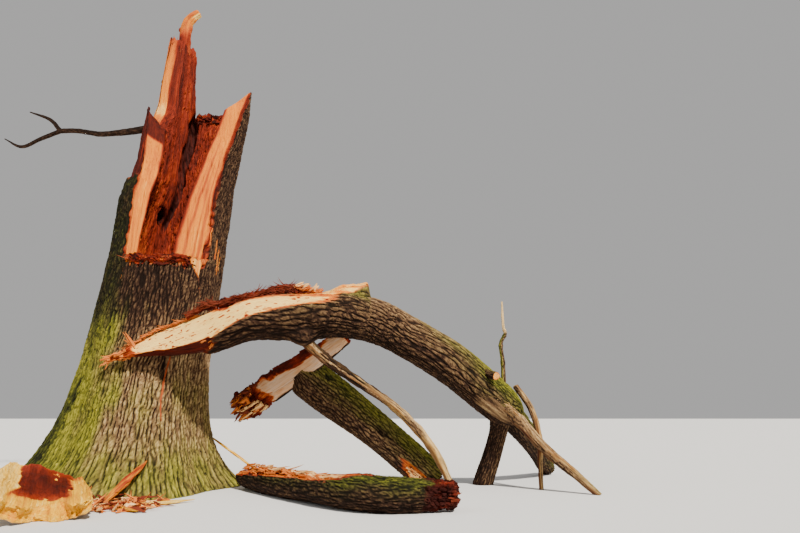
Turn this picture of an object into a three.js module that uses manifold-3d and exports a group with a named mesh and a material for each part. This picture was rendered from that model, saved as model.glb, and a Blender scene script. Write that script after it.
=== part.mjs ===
// A dead oak, broken by a storm, in millimetres with +Z up.
// A thick hollow trunk stands on its root flare and is torn open towards the front. Its two big
// boughs have fallen to the right, where they lean on the trunk, on each other and on the ground.
// The origin is the centre of the flat cut under the trunk, at ground level.
import * as THREE from "three";
import { mergeVertices } from "three/addons/utils/BufferGeometryUtils.js";
import Module from "manifold-3d";

const wasm = await Module();
wasm.setup();

// Touching pieces stay this far apart.
const SEAT_GAP = 0.3;

// Trunk: the stem's middle line and radius by height. It leans, and spreads into roots at the ground.
const STEM = [
  { z: 0, x: 0, y: 0, radius: 850 },
  { z: 1500, x: 98, y: 20, radius: 838 },
  { z: 2400, x: 175, y: 40, radius: 828 },
  { z: 3200, x: 232, y: 55, radius: 805 },
  { z: 4050, x: 285, y: 70, radius: 808 },
  { z: 4700, x: 390, y: 85, radius: 755 },
  { z: 5700, x: 500, y: 100, radius: 785 },
  { z: 7500, x: 600, y: 120, radius: 790 },
];
const FLARE_REACH = 390;
const FLARE_FALL = 480;
// Each root runs out at a turn from +X, in degrees, by a reach that fades with height over its fall.
const ROOTS = [
  { turn: 200, reach: 440, spread: 26, fall: 620 },
  { turn: 20, reach: 330, spread: 24, fall: 430 },
  { turn: 305, reach: 230, spread: 24, fall: 420 },
  { turn: 258, reach: 200, spread: 20, fall: 380 },
  { turn: 80, reach: 260, spread: 26, fall: 460 },
  { turn: 138, reach: 250, spread: 24, fall: 440 },
];
// Shallow folds run up the stem between the roots.
const FOLDS = 7;
const FOLD_DEPTH = 16;
const FOLD_TWIST = 0.0002; // radians of turn for each millimetre of height

// The break: the front is torn off at this height, and a shell of sound wood stands up behind it.
const BREAK_HEIGHT = 3130;
const FLOOR_DIP = 420;
const OPENING_TURN = 21.5; // degrees from +X to the right-hand edge of the stem, seen into the opening
const SHELL_FOOT = 2500;
// The hollow is an ellipse in plan. Its sizes are shares of the stem's radius there.
const HOLLOW = [
  { z: 2500, x: -0.2, y: -0.3, halfWidth: 0.33, halfDepth: 0.8 },
  { z: 3400, x: -0.19, y: -0.3, halfWidth: 0.34, halfDepth: 0.85 },
  { z: 4400, x: -0.075, y: -0.3, halfWidth: 0.38, halfDepth: 0.9 },
  { z: 5300, x: -0.03, y: -0.25, halfWidth: 0.5, halfDepth: 0.92 },
  { z: 6000, x: 0, y: -0.2, halfWidth: 0.56, halfDepth: 0.95 },
  { z: 7300, x: 0.05, y: -0.1, halfWidth: 0.62, halfDepth: 0.95 },
];
// Both arms of the shell end at a turn from the opening's right-hand edge that changes with height.
const ARMS = [
  { z: 2900, right: -53, left: 227 },
  { z: 3860, right: -50, left: 224 },
  { z: 4230, right: -49, left: 222 },
  { z: 4720, right: -45, left: 212 },
  { z: 5130, right: -38, left: 206 },
  { z: 5600, right: -33, left: 195 },
  { z: 6100, right: -20, left: 196 },
];
// The shell's torn crest by turn, and how much lower it is on the hollow's side. It rises to a tip
// at the end of the right arm, a tall spire at the back and a short one on the left.
const CREST = [
  { turn: -22, z: 6080, drop: 500 },
  { turn: 0, z: 6000, drop: 450 },
  { turn: 30, z: 5900, drop: 250 },
  { turn: 60, z: 5850, drop: 120 },
  { turn: 98, z: 5920, drop: 60 },
  { turn: 103, z: 6300, drop: 60 },
  { turn: 110, z: 6650, drop: 60 },
  { turn: 116, z: 6990, drop: 60 },
  { turn: 120, z: 7160, drop: 60 },
  { turn: 133, z: 6930, drop: 60 },
  { turn: 140, z: 7040, drop: 60 },
  { turn: 150, z: 7130, drop: 60 },
  { turn: 154, z: 5900, drop: 60 },
  { turn: 166, z: 5380, drop: 60 },
  { turn: 184, z: 5600, drop: 400 },
  { turn: 198, z: 5560, drop: 660 },
];

// Boughs, as stations of x, y, z and radius along each limb.
const FALLEN_BOUGH_BUTT = [
  [-31, -960, 1650, 46], [284, -925, 1779, 133], [641, -860, 1922, 251], [1140, -900, 2029, 331],
  [1762, -930, 2251, 348], [2387, -885, 2287, 351], [2900, -780, 2290, 315], [3340, -655, 2225, 298],
];
const FALLEN_BOUGH_STEM = [
  [2900, -780, 2285, 305], [3340, -655, 2222, 292], [3730, -500, 2050, 278], [4420, -300, 1660, 300],
  [4950, -150, 1260, 285], [5250, -50, 1030, 235],
];
const FALLEN_BOUGH_TOP = [
  [5000, -130, 1260, 205], [5450, 330, 820, 175], [5860, 1050, 430, 155], [6160, 1750, 112, 135],
];
const FALLEN_BOUGH_LEG = [[5150, -60, 1050, 165], [5100, 130, 660, 115], [4900, 420, -30, 120]];
const FALLEN_BOUGH_POLE = [
  [5160, -190, 1120, 75], [5356, -225, 890, 82], [5667, -380, 520, 72],
  [5887, -500, 316, 66], [6241, -700, -10, 38],
];
const CUT_STUB = [[4830, -180, 1560, 78], [5015, -560, 1478, 55]];
const UPRIGHT_SHOOT = [
  [5180, -100, 1250, 40], [5186, -100, 1667, 30], [5166, -100, 1950, 27], [5235, -100, 2100, 24],
  [5195, -100, 2200, 19], [5189, -100, 2549, 12],
];
const DEAD_STICK = [
  [5379, 20, 1363, 42], [5543, -100, 1076, 41], [5614, -232, 712, 38], [5618, -210, 375, 34],
  [5621, -180, -10, 30],
];
const PROP_BRANCH = [
  [2400, -880, 1990, 78], [2766, -950, 1677, 66], [3152, -900, 1411, 60], [3663, -800, 1069, 58],
  [4115, -620, 597, 60], [4443, -420, -10, 48],
];
const SECOND_BOUGH = [
  [2277, 20, 1607, 299], [2842, 310, 1150, 279], [3500, 600, 630, 262], [4210, 900, 40, 240],
];
const GROUND_LOG = [
  [1650, -60, 195, 185], [2500, -1130, 190, 190], [3450, -2020, 185, 185], [4300, -1950, 170, 160],
];
const SIDE_BOUGH = [
  [-60, -200, 5260, 60], [-600, -200, 5180, 44], [-900, -200, 5160, 38], [-1220, -200, 5212, 36],
  [-1530, -200, 5210, 36],
];
const SIDE_BOUGH_UPPER = [[-1500, -200, 5212, 32], [-1680, -200, 5400, 27], [-2010, -200, 5530, 9]];
const SIDE_BOUGH_LOWER = [
  [-1500, -200, 5208, 34], [-1760, -250, 5050, 27], [-2020, -250, 4925, 22], [-2335, -200, 5080, 7],
];
const SPIRE_TIP = [
  [0, 515, 6960, 120], [5, 505, 7200, 105], [8, 500, 7380, 88], [30, 490, 7540, 86],
  [100, 485, 7665, 82], [225, 478, 7765, 66],
];

// A torn face cuts a limb along its length. Its normal is given by side and up, and its distance
// from the limb's middle line is a share of the radius at each part of the length.
const BUTT_TEAR = {
  side: -0.74,
  up: 0.67,
  distance: [[0, 0.1], [0.3, 0.05], [0.45, 0.25], [0.6, 0.62], [0.85, 0.9], [1, 1.1]],
};
const LOG_TEAR = { side: -0.5, up: 0.87, distance: [[0, 0.35], [0.7, 0.45], [1, 0.9]] };

// Torn slabs are curved boards: stations of their middle line, with a width and a thickness.
const SECOND_SLAB = [
  [1390, 330, 1060, 190], [1858, 150, 1339, 204], [2420, -120, 1671, 182], [2990, -565, 2006, 118],
];
const SECOND_SLAB_THICKNESS = 0.42;

// A broken piece of the shell lies in front of the left-hand root, hollow side up.
const FOOT_SLAB = {
  x: 45, y: -2010, turn: 119, radius: 700, thickness: 150, right: -34, left: 50, length: 1400, rise: 0.1,
};
// Split pieces lie about the foot of the trunk, and one leans on it.
const SHARDS = [
  { name: "loose_shard_front", from: [290, -1560, 24], to: [1010, -2080, 24], width: 45, thickness: 26 },
  { name: "loose_shard_left", from: [430, -1640, 22], to: [595, -920, 425], width: 66, thickness: 26 },
  { name: "loose_shard_pale", from: [640, -1870, 22], to: [1330, -1270, 24], width: 48, thickness: 24 },
  { name: "log_strip", from: [1560, 10, 250], to: [2700, -1150, 300], width: 80, thickness: 26 },
  { name: "leaning_splinter", from: [930, 290, 710], to: [2150, -240, 20], width: 26, thickness: 16 },
];

const radians = THREE.MathUtils.degToRad;
const lerp = THREE.MathUtils.lerp;

// The value at x on a line of straight runs through [x, value] pairs.
function ramp(pairs, x) {
  const next = pairs.findIndex(([at]) => at >= x);
  if (next === 0) return pairs[0][1];
  if (next < 0) return pairs[pairs.length - 1][1];
  const [x0, v0] = pairs[next - 1];
  const [x1, v1] = pairs[next];
  return lerp(v0, v1, (x - x0) / (x1 - x0));
}

// One column of a table of named values, read at x.
function read(table, key, column, x) {
  return ramp(table.map((row) => [row[key], row[column]]), x);
}

// A closed surface from rows of points, each row a ring, with a fan over the first and last ring.
function ringSolid(rows) {
  const columns = rows[0].length;
  const middle = (row) => row.reduce((sum, p) => sum.add(p), new THREE.Vector3()).divideScalar(columns);
  const points = [...rows.flat(), middle(rows[0]), middle(rows[rows.length - 1])];
  const first = rows.length * columns;
  const index = [];
  for (let i = 0; i < columns; i++) {
    const j = (i + 1) % columns;
    for (let k = 0; k + 1 < rows.length; k++) {
      const a = k * columns;
      const b = a + columns;
      index.push(a + i, a + j, b + j, a + i, b + j, b + i);
    }
    const last = (rows.length - 1) * columns;
    index.push(first, j, i, first + 1, last + i, last + j);
  }
  return solidOf(points, index);
}

// A closed surface that wraps a block of three directions, each mapped from 0 to 1 by place.
function blockSolid(counts, place) {
  const points = [];
  const index = [];
  for (let axis = 0; axis < 3; axis++) {
    const [u, v] = [(axis + 1) % 3, (axis + 2) % 3];
    for (const end of [0, 1]) {
      const start = points.length;
      for (let i = 0; i <= counts[u]; i++) {
        for (let j = 0; j <= counts[v]; j++) {
          const at = [0, 0, 0];
          at[axis] = end;
          at[u] = i / counts[u];
          at[v] = j / counts[v];
          points.push(place(...at));
        }
      }
      const step = counts[v] + 1;
      for (let i = 0; i < counts[u]; i++) {
        for (let j = 0; j < counts[v]; j++) {
          const [a, b] = [start + i * step + j, start + (i + 1) * step + j];
          const quad = end ? [a, b, b + 1, a, b + 1, a + 1] : [a, b + 1, b, a, a + 1, b + 1];
          index.push(...quad);
        }
      }
    }
  }
  return solidOf(points, index);
}

function solidOf(points, index, merge = true) {
  const geometry = new THREE.BufferGeometry().setFromPoints(points).setIndex(index);
  const merged = merge ? mergeVertices(geometry, 1e-3) : geometry;
  const made = new wasm.Manifold(
    new wasm.Mesh({
      numProp: 3,
      vertProperties: merged.attributes.position.array,
      triVerts: new Uint32Array(merged.index.array),
    }),
  );
  if (made.volume() < 0) throw new Error("a solid is inside out");
  return made;
}

// The largest body of a solid, so that a cut leaves no loose scraps.
function largest(solid) {
  return solid.decompose().reduce((best, body) => (body.volume() > best.volume() ? body : best));
}

// The trunk

// The stem's radius at a turn from +X in radians, with its roots and folds.
function stemRadius(turn, z) {
  const height = Math.max(z, 0);
  const flare = FLARE_REACH * Math.exp(-height / FLARE_FALL);
  const folds = FOLD_DEPTH * Math.sin(FOLDS * (turn + FOLD_TWIST * height));
  const roots = ROOTS.reduce((sum, root) => {
    const off = THREE.MathUtils.euclideanModulo(turn - radians(root.turn) + Math.PI, 2 * Math.PI) - Math.PI;
    const across = off / radians(root.spread);
    return sum + root.reach * Math.exp(-height / root.fall - across * across);
  }, 0);
  return read(STEM, "z", "radius", height) + flare + folds + roots;
}

// A point at a distance from the stem's middle line.
function leaned(x, y, z) {
  return new THREE.Vector3(x + read(STEM, "z", "x", z), y + read(STEM, "z", "y", z), z);
}

// The solid stem up to the break, with a dished floor where the heartwood has rotted away.
function stemSolid() {
  const COLUMNS = 56;
  const heights = [0, 90, 200, 330, 480, 660, 880, 1150, 1480, 1880, 2300, 2720, BREAK_HEIGHT];
  const rows = heights.map((z) => ({ z, share: 1 }));
  rows.push({ z: BREAK_HEIGHT - 0.2 * FLOOR_DIP, share: 0.78 });
  rows.push({ z: BREAK_HEIGHT - 0.7 * FLOOR_DIP, share: 0.45 });
  rows.push({ z: BREAK_HEIGHT - FLOOR_DIP, share: 0.16 });
  return ringSolid(
    rows.map(({ z, share }) =>
      Array.from({ length: COLUMNS }, (_, i) => {
        const turn = (i / COLUMNS) * 2 * Math.PI;
        const radius = share * stemRadius(turn, z);
        return leaned(radius * Math.cos(turn), radius * Math.sin(turn), z);
      }),
    ),
  );
}

// The shell above the break: through runs from the hollow to the bark, around from the right arm
// to the left one, and up from the shell's foot to its torn crest.
function shellPoint(through, around, up) {
  const crestTurn = lerp(CREST[0].turn, CREST[CREST.length - 1].turn, around);
  const drop = read(CREST, "turn", "drop", crestTurn) * (1 - through);
  const z = lerp(SHELL_FOOT, read(CREST, "turn", "z", crestTurn) - drop, up);
  const [rightEnd, leftEnd] = [radians(read(ARMS, "z", "right", z)), radians(read(ARMS, "z", "left", z))];
  const turn = lerp(rightEnd, leftEnd, around);
  const radius = read(STEM, "z", "radius", z);
  const columns = ["x", "y", "halfWidth", "halfDepth"];
  const [x, y, halfWidth, halfDepth] = columns.map((column) => read(HOLLOW, "z", column, z));
  const hollowTurn = (end) => Math.asin(THREE.MathUtils.clamp((Math.sin(end) - y) / halfDepth, -0.95, 0.95));
  const inner = lerp(hollowTurn(rightEnd), Math.PI - hollowTurn(leftEnd), around);
  const bark = stemRadius(turn + radians(OPENING_TURN), z);
  const across = lerp((x + halfWidth * Math.cos(inner)) * radius, bark * Math.cos(turn), through);
  const away = lerp((y + halfDepth * Math.sin(inner)) * radius, bark * Math.sin(turn), through);
  const [c, s] = [Math.cos(radians(OPENING_TURN)), Math.sin(radians(OPENING_TURN))];
  return leaned(across * c - away * s, across * s + away * c, z);
}

function shellSolid() {
  return blockSolid([2, 58, 8], shellPoint);
}

// Limbs

// The point and radius on a smooth curve through stations, for t from 0 to 1.
function along(stations, t) {
  const runs = stations.length - 1;
  const s = THREE.MathUtils.clamp(t, 0, 1) * runs;
  const i = Math.min(Math.floor(s), runs - 1);
  const f = s - i;
  const p1 = stations[i];
  const p2 = stations[i + 1];
  const p0 = stations[i - 1] ?? p1.map((v, k) => 2 * v - p2[k]);
  const p3 = stations[i + 2] ?? p2.map((v, k) => 2 * v - p1[k]);
  return p1.map((_, k) => {
    const square = 2 * p0[k] - 5 * p1[k] + 4 * p2[k] - p3[k];
    const cube = 3 * p1[k] - p0[k] - 3 * p2[k] + p3[k];
    return 0.5 * (2 * p1[k] + (p2[k] - p0[k]) * f + square * f * f + cube * f * f * f);
  });
}

// A limb's axes at t: its own direction, the side that faces back, and up across it.
function axesAt(stations, t) {
  const step = 1e-3;
  const [a, b] = [along(stations, Math.max(0, t - step)), along(stations, Math.min(1, t + step))];
  const ahead = new THREE.Vector3(b[0] - a[0], b[1] - a[1], b[2] - a[2]).normalize();
  const side = new THREE.Vector3(0, 1, 0).addScaledVector(ahead, -ahead.y).normalize();
  return { ahead, side, up: new THREE.Vector3().crossVectors(ahead, side) };
}

const LUMP_SHARE = 0.045;

// Limbs aren't round: slow lumps run along and around them.
function lump(turn, t, length) {
  const s = (t * length) / 1000;
  return 1 + LUMP_SHARE * (Math.sin(3 * turn + 2.1 * s) + 0.6 * Math.sin(2 * turn - 3.7 * s + 1.3));
}

function lengthOf(stations) {
  const at = (i) => new THREE.Vector3(...stations[i].slice(0, 3));
  return stations.slice(1).reduce((sum, _, i) => sum + at(i).distanceTo(at(i + 1)), 0);
}

function limbSolid(stations, { sides = 14, rings = 10, tear = null, flat = 1, from = 0, to = 1 } = {}) {
  const length = lengthOf(stations);
  const rows = Array.from({ length: rings + 1 }, (_, k) => {
    const t = lerp(from, to, k / rings);
    const [x, y, z, radius] = along(stations, t);
    const { side, up } = axesAt(stations, t);
    return Array.from({ length: sides }, (_, i) => {
      const turn = (i / sides) * 2 * Math.PI;
      const reach = radius * lump(turn, t, length);
      let [across, above] = [reach * flat * Math.cos(turn), reach * Math.sin(turn)];
      if (tear) {
        const beyond = across * tear.side + above * tear.up - (radius * ramp(tear.distance, t));
        if (beyond > 0) {
          across -= beyond * tear.side;
          above -= beyond * tear.up;
        }
      }
      return new THREE.Vector3(x, y, z).addScaledVector(side, across).addScaledVector(up, above);
    });
  });
  return ringSolid(rows);
}

// A broken piece of shell, lying on the ground with its hollow side up and its far end raised.
function footSlabSolid() {
  const { x, y, turn, radius, thickness, right, left, length, rise } = FOOT_SLAB;
  const [c, s] = [Math.cos(radians(turn)), Math.sin(radians(turn))];
  const place = (through, around, lengthwise) => {
    const at = radians(lerp(right, left, around));
    const r = lerp(radius - thickness, radius, through);
    const run = (lengthwise - 0.5) * length * (1 - 0.18 * Math.cos(3 * at));
    const up = radius - 15 - r * Math.cos(at) + rise * (run + 0.42 * length);
    return new THREE.Vector3(x + run * c - r * Math.sin(at) * s, y + run * s + r * Math.sin(at) * c, up);
  };
  return blockSolid([2, 14, 8], place);
}

// A block of space from the ground up, for cutting limbs level where they stand.
function aboveGround() {
  const [HALF, TOP] = [9000, 9000];
  const place = (a, b, c) => new THREE.Vector3(lerp(-HALF, HALF, a), lerp(-HALF, HALF, b), lerp(0, TOP, c));
  return blockSolid([1, 1, 1], place);
}

// A torn splinter: a flat four-sided board that thins to both ends.
function shardSolid({ from, to, width, thickness }) {
  const [a, b] = [new THREE.Vector3(...from), new THREE.Vector3(...to)];
  const ahead = b.clone().sub(a).normalize();
  const side = new THREE.Vector3(0, 0, 1).cross(ahead).normalize();
  const up = new THREE.Vector3().crossVectors(ahead, side);
  const shares = [0.25, 0.9, 1, 0.75, 0.2];
  const rows = shares.map((share, k) => {
    const centre = a.clone().lerp(b, k / (shares.length - 1));
    return [[1, 1], [-1, 1], [-1, -1], [1, -1]].map(([i, j]) =>
      centre.clone().addScaledVector(side, i * width * share).addScaledVector(up, j * thickness * share),
    );
  });
  return ringSolid(rows);
}

// Assembly

const bark = new THREE.MeshStandardMaterial({ color: 0x6b5a45, roughness: 0.95, metalness: 0 });
const mossyBark = new THREE.MeshStandardMaterial({ color: 0x6a6a38, roughness: 0.95, metalness: 0 });
const tornWood = new THREE.MeshStandardMaterial({ color: 0xd9a672, roughness: 0.8, metalness: 0 });
const bareWood = new THREE.MeshStandardMaterial({ color: 0xa3794f, roughness: 0.85, metalness: 0 });
const heartwood = new THREE.MeshStandardMaterial({ color: 0x8a3a1c, roughness: 0.9, metalness: 0 });

const tree = new THREE.Group();
const grownPieces = new Map();

function geometryOf(solid) {
  const { numProp, numVert, vertProperties, triVerts } = solid.getMesh();
  const position = new Float32Array(numVert * 3);
  for (let i = 0; i < numVert; i++) {
    position.set(vertProperties.subarray(i * numProp, i * numProp + 3), i * 3);
  }
  const geometry = new THREE.BufferGeometry()
    .setAttribute("position", new THREE.BufferAttribute(position, 3))
    .setIndex(new THREE.BufferAttribute(triVerts, 1));
  geometry.computeVertexNormals();
  return geometry;
}

// A copy of a solid that is larger all over by about the seat gap. Each corner moves out along the
// mean of its faces' normals, weighted by their angles there, and further where the faces disagree.
function grown(solid) {
  const geometry = geometryOf(solid);
  const { position } = geometry.attributes;
  const pointAt = (_, i) => new THREE.Vector3().fromBufferAttribute(position, i);
  const points = Array.from({ length: position.count }, pointAt);
  const index = Array.from(geometry.index.array);
  const cornerNormals = points.map(() => new THREE.Vector3());
  const faces = points.map(() => []);
  for (let f = 0; f < index.length; f += 3) {
    const face = index.slice(f, f + 3);
    const normal = new THREE.Triangle(...face.map((i) => points[i])).getNormal(new THREE.Vector3());
    face.forEach((i, k) => {
      const toNext = points[face[(k + 1) % 3]].clone().sub(points[i]);
      const toLast = points[face[(k + 2) % 3]].clone().sub(points[i]);
      cornerNormals[i].addScaledVector(normal, toNext.angleTo(toLast));
      faces[i].push(normal);
    });
  }
  const moved = points.map((point, i) => {
    const out = cornerNormals[i].normalize();
    const agreement = Math.min(...faces[i].map((normal) => normal.dot(out)));
    return point.clone().addScaledVector(out, SEAT_GAP / Math.max(agreement, 0.15));
  });
  return solid.add(solidOf(moved, index, false));
}

// A piece is made of one or more solids. It is cut level with the ground, and cut back from the
// earlier pieces that it touches.
function addPiece(name, parts, material, seats = []) {
  const joined = (solids) => solids.reduce((all, solid) => all.add(solid));
  const free = seats.reduce((solid, seat) => solid.subtract(grownPieces.get(seat)), joined(parts));
  grownPieces.set(name, joined(parts.map(grown)));
  const mesh = new THREE.Mesh(geometryOf(largest(free.intersect(aboveGround()))), material);
  mesh.name = name;
  tree.add(mesh);
}

addPiece("trunk", [stemSolid(), shellSolid()], bark);
addPiece("spire_tip", [limbSolid(SPIRE_TIP, { sides: 10, rings: 8 })], tornWood, ["trunk"]);
addPiece("side_bough", [limbSolid(SIDE_BOUGH, { sides: 8 })], bark, ["trunk"]);
addPiece("side_bough_upper", [limbSolid(SIDE_BOUGH_UPPER, { sides: 8, rings: 7 })], bark, ["side_bough"]);
const sideFork = ["side_bough", "side_bough_upper"];
addPiece("side_bough_lower", [limbSolid(SIDE_BOUGH_LOWER, { sides: 8, rings: 8 })], bark, sideFork);

const butt = limbSolid(FALLEN_BOUGH_BUTT, { sides: 18, rings: 18, tear: BUTT_TEAR });
addPiece("fallen_bough_butt", [butt], tornWood, ["trunk"]);
const stem = limbSolid(FALLEN_BOUGH_STEM, { sides: 18, rings: 14, from: 0.2 });
addPiece("fallen_bough_stem", [stem], mossyBark, ["fallen_bough_butt"]);
addPiece("fallen_bough_top", [limbSolid(FALLEN_BOUGH_TOP)], mossyBark, ["fallen_bough_stem"]);
const boughEnd = ["fallen_bough_stem", "fallen_bough_top"];
addPiece("fallen_bough_leg", [limbSolid(FALLEN_BOUGH_LEG, { sides: 12, rings: 7 })], bark, boughEnd);
const pole = limbSolid(FALLEN_BOUGH_POLE, { sides: 10, rings: 8 });
addPiece("fallen_bough_pole", [pole], bareWood, [...boughEnd, "fallen_bough_leg"]);
addPiece("cut_stub", [limbSolid(CUT_STUB, { sides: 12, rings: 4 })], mossyBark, boughEnd);
addPiece("upright_shoot", [limbSolid(UPRIGHT_SHOOT, { sides: 7 })], mossyBark, boughEnd);
addPiece("dead_stick", [limbSolid(DEAD_STICK, { sides: 8 })], bareWood, [...boughEnd, "fallen_bough_pole"]);

const fallenBough = ["fallen_bough_butt", "fallen_bough_stem"];
addPiece("prop_branch", [limbSolid(PROP_BRANCH, { sides: 10, rings: 12 })], bareWood, fallenBough);
const slab = limbSolid(SECOND_SLAB, { rings: 9, flat: SECOND_SLAB_THICKNESS });
addPiece("second_slab", [slab], tornWood, [...fallenBough, "prop_branch"]);
const secondBough = limbSolid(SECOND_BOUGH, { sides: 16, rings: 12 });
addPiece("second_bough", [secondBough], mossyBark, ["second_slab", ...fallenBough]);
const log = limbSolid(GROUND_LOG, { sides: 16, rings: 14, tear: LOG_TEAR });
addPiece("ground_log", [log], bark, ["trunk", "second_bough"]);
addPiece("foot_slab", [footSlabSolid()], heartwood, ["trunk"]);
const lying = ["trunk", "ground_log", "foot_slab"];
for (const shard of SHARDS) {
  addPiece(shard.name, [shardSolid(shard)], tornWood, lying);
  lying.push(shard.name);
}

export default tree;
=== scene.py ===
"""The looks of a broken, hollow dead tree and its fallen boughs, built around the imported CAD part."""

import logging
import math
from collections.abc import Callable, Sequence
from dataclasses import dataclass, field
from enum import Enum

import bpy
import numpy as np
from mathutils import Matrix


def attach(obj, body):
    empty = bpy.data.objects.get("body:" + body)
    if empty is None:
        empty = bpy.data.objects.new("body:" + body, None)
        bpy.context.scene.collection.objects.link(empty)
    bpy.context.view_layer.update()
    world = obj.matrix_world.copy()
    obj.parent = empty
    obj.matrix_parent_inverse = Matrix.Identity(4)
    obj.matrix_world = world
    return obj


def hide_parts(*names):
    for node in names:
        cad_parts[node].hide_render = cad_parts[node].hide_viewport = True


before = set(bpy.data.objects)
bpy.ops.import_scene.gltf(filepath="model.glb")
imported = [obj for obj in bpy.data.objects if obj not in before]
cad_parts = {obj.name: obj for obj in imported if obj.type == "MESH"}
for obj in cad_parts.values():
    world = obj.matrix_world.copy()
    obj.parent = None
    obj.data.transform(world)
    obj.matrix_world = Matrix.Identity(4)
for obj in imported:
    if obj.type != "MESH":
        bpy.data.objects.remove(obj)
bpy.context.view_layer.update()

LOG = logging.getLogger("dead_tree")
BODY = "root"
TAU = 2 * math.pi
SHARP_ANGLE = 70.0
WELDS_PER_METRE = 2e4
STEP = 1e-3
CAP_ROWS = 14
SHARD_ROWS = 90
SHARD_SIDES = 26
STRAND_STEPS = 5
Array = np.ndarray
Masks = dict[str, Array]
Colour = tuple[float, float, float]
Socket = bpy.types.NodeSocket
Piece = bpy.types.Object


class Slot(Enum):
    """The finishes that the record names."""

    BARK = "bark"
    MOSSY_BARK = "mossy_bark"
    TORN_WOOD = "torn_wood"
    BARE_WOOD = "bare_wood"
    HEARTWOOD = "heartwood"


class End(Enum):
    """How a limb ends."""

    HIDDEN = "hidden"
    TORN = "torn"
    SAWN = "sawn"


# Small mathematics


def lerp(low: Array | float, high: Array | float, share: Array | float) -> Array:
    """Returns the value at a share of the way from low to high."""
    return low + (high - low) * share


def read(table: Sequence[Sequence[float]], at: Array, column: int = 1) -> Array:
    """Returns a column of a table at places along its first column."""
    values = np.array(table)
    return np.interp(at, values[:, 0], values[:, column])


def smooth(low: float, high: float, value: Array) -> Array:
    """Returns a soft step from 0 at low to 1 at high."""
    share = np.clip((value - low) / (high - low), 0, 1)
    return share * share * (3 - 2 * share)


def hill(middle: float, reach: float, value: Array) -> Array:
    """Returns a soft hill of height 1 at the middle that falls to 0 at its reach."""
    return smooth(reach, 0, np.abs(value - middle))


def wrapped(turn: Array) -> Array:
    """Returns an angle brought between minus and plus half a turn."""
    return (turn + math.pi) % TAU - math.pi


def aside(turn: Array, direction: Array | float) -> Array:
    """Returns how many degrees an angle in radians lies from a direction in degrees."""
    return np.degrees(wrapped(turn - np.radians(direction)))


def ringed(turn: Array, wide: Array | float, run: Array) -> Array:
    """Returns points on rings of a radius round the third axis, at a run along it."""
    return np.stack([np.cos(turn) * wide, np.sin(turn) * wide, run], -1)


def unit(vectors: Array) -> Array:
    """Returns the vectors with length 1."""
    return vectors / np.maximum(np.linalg.norm(vectors, axis=-1, keepdims=True), 1e-9)


def hashed(x: Array, y: Array, z: Array, salt: int) -> Array:
    """Returns a repeatable number from 0 to 1 for each lattice cell.

    Args:
        x: The cell's first index.
        y: Its second index.
        z: Its third index.
        salt: The pattern's number.

    Returns:
        One number for each cell.
    """
    mixed = (x.astype(np.int64) * 73856093) ^ (y.astype(np.int64) * 19349663)
    mixed = mixed ^ (z.astype(np.int64) * 83492791) ^ (salt * 40503 + 977)
    for shift, factor in ((13, 1274126177), (16, 668265263)):
        mixed = (((mixed ^ (mixed >> shift)) & 0xFFFFFFFF) * factor) & 0xFFFFFFFF
    return ((mixed ^ (mixed >> 15)) & 0xFFFFFF) / float(0xFFFFFF)


def noise(points: Array, salt: int) -> Array:
    """Makes smooth noise.

    Args:
        points: Where to look, in lump sizes.
        salt: The pattern's number.

    Returns:
        A height from 0 to 1 for each point.
    """
    cell = np.floor(points).astype(np.int64)
    part = points - cell
    part = part * part * (3 - 2 * part)
    total = np.zeros(points.shape[:-1])
    for corner in range(8):
        i, j, k = corner & 1, (corner >> 1) & 1, corner >> 2
        weight = (part[..., 0] if i else 1 - part[..., 0]) * (part[..., 1] if j else 1 - part[..., 1])
        weight = weight * (part[..., 2] if k else 1 - part[..., 2])
        total += weight * hashed(cell[..., 0] + i, cell[..., 1] + j, cell[..., 2] + k, salt)
    return total


def layered(points: Array, salt: int, layers: int = 3) -> Array:
    """Makes noise with finer and fainter layers.

    Args:
        points: Where to look, in sizes of the largest lumps.
        salt: The pattern's number.
        layers: How many layers there are.

    Returns:
        A height from 0 to 1 for each point.
    """
    total, weight, reach = np.zeros(points.shape[:-1]), 1.0, 0.0
    for layer in range(layers):
        total += weight * noise(points * 2.03**layer + 7.7 * layer, salt + layer)
        reach += weight
        weight *= 0.5
    return total / reach


def waver(points: Array, across: float, along: float, salt: int, layers: int = 3) -> Array:
    """Returns noise from -0.5 to 0.5, with lumps of one size across the grain and another along it."""
    return layered(points / np.array([across, across, along]), salt, layers) - 0.5


def blocks(points: Array, salt: int) -> tuple[Array, Array]:
    """Breaks space into random blocks, one for each unit.

    Args:
        points: Where to look, in block sizes.
        salt: The pattern's number.

    Returns:
        Each point's block number from 0 to 1, and its distance from the block's edge.
    """
    cell = np.floor(points).astype(np.int64)
    nearest = np.full(points.shape[:-1], 9.0)
    second = nearest.copy()
    number = np.zeros(points.shape[:-1])
    for corner in range(27):
        at = cell + np.array([corner % 3 - 1, corner // 3 % 3 - 1, corner // 9 - 1])
        index = (at[..., 0], at[..., 1], at[..., 2])
        seed = np.stack([hashed(*index, salt + k) for k in range(3)], -1)
        away = np.linalg.norm(at + 0.1 + 0.8 * seed - points, axis=-1)
        closer = away < nearest
        second = np.where(closer, nearest, np.minimum(second, away))
        number = np.where(closer, seed[..., 0], number)
        nearest = np.where(closer, away, nearest)
    return number, second - nearest


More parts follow.
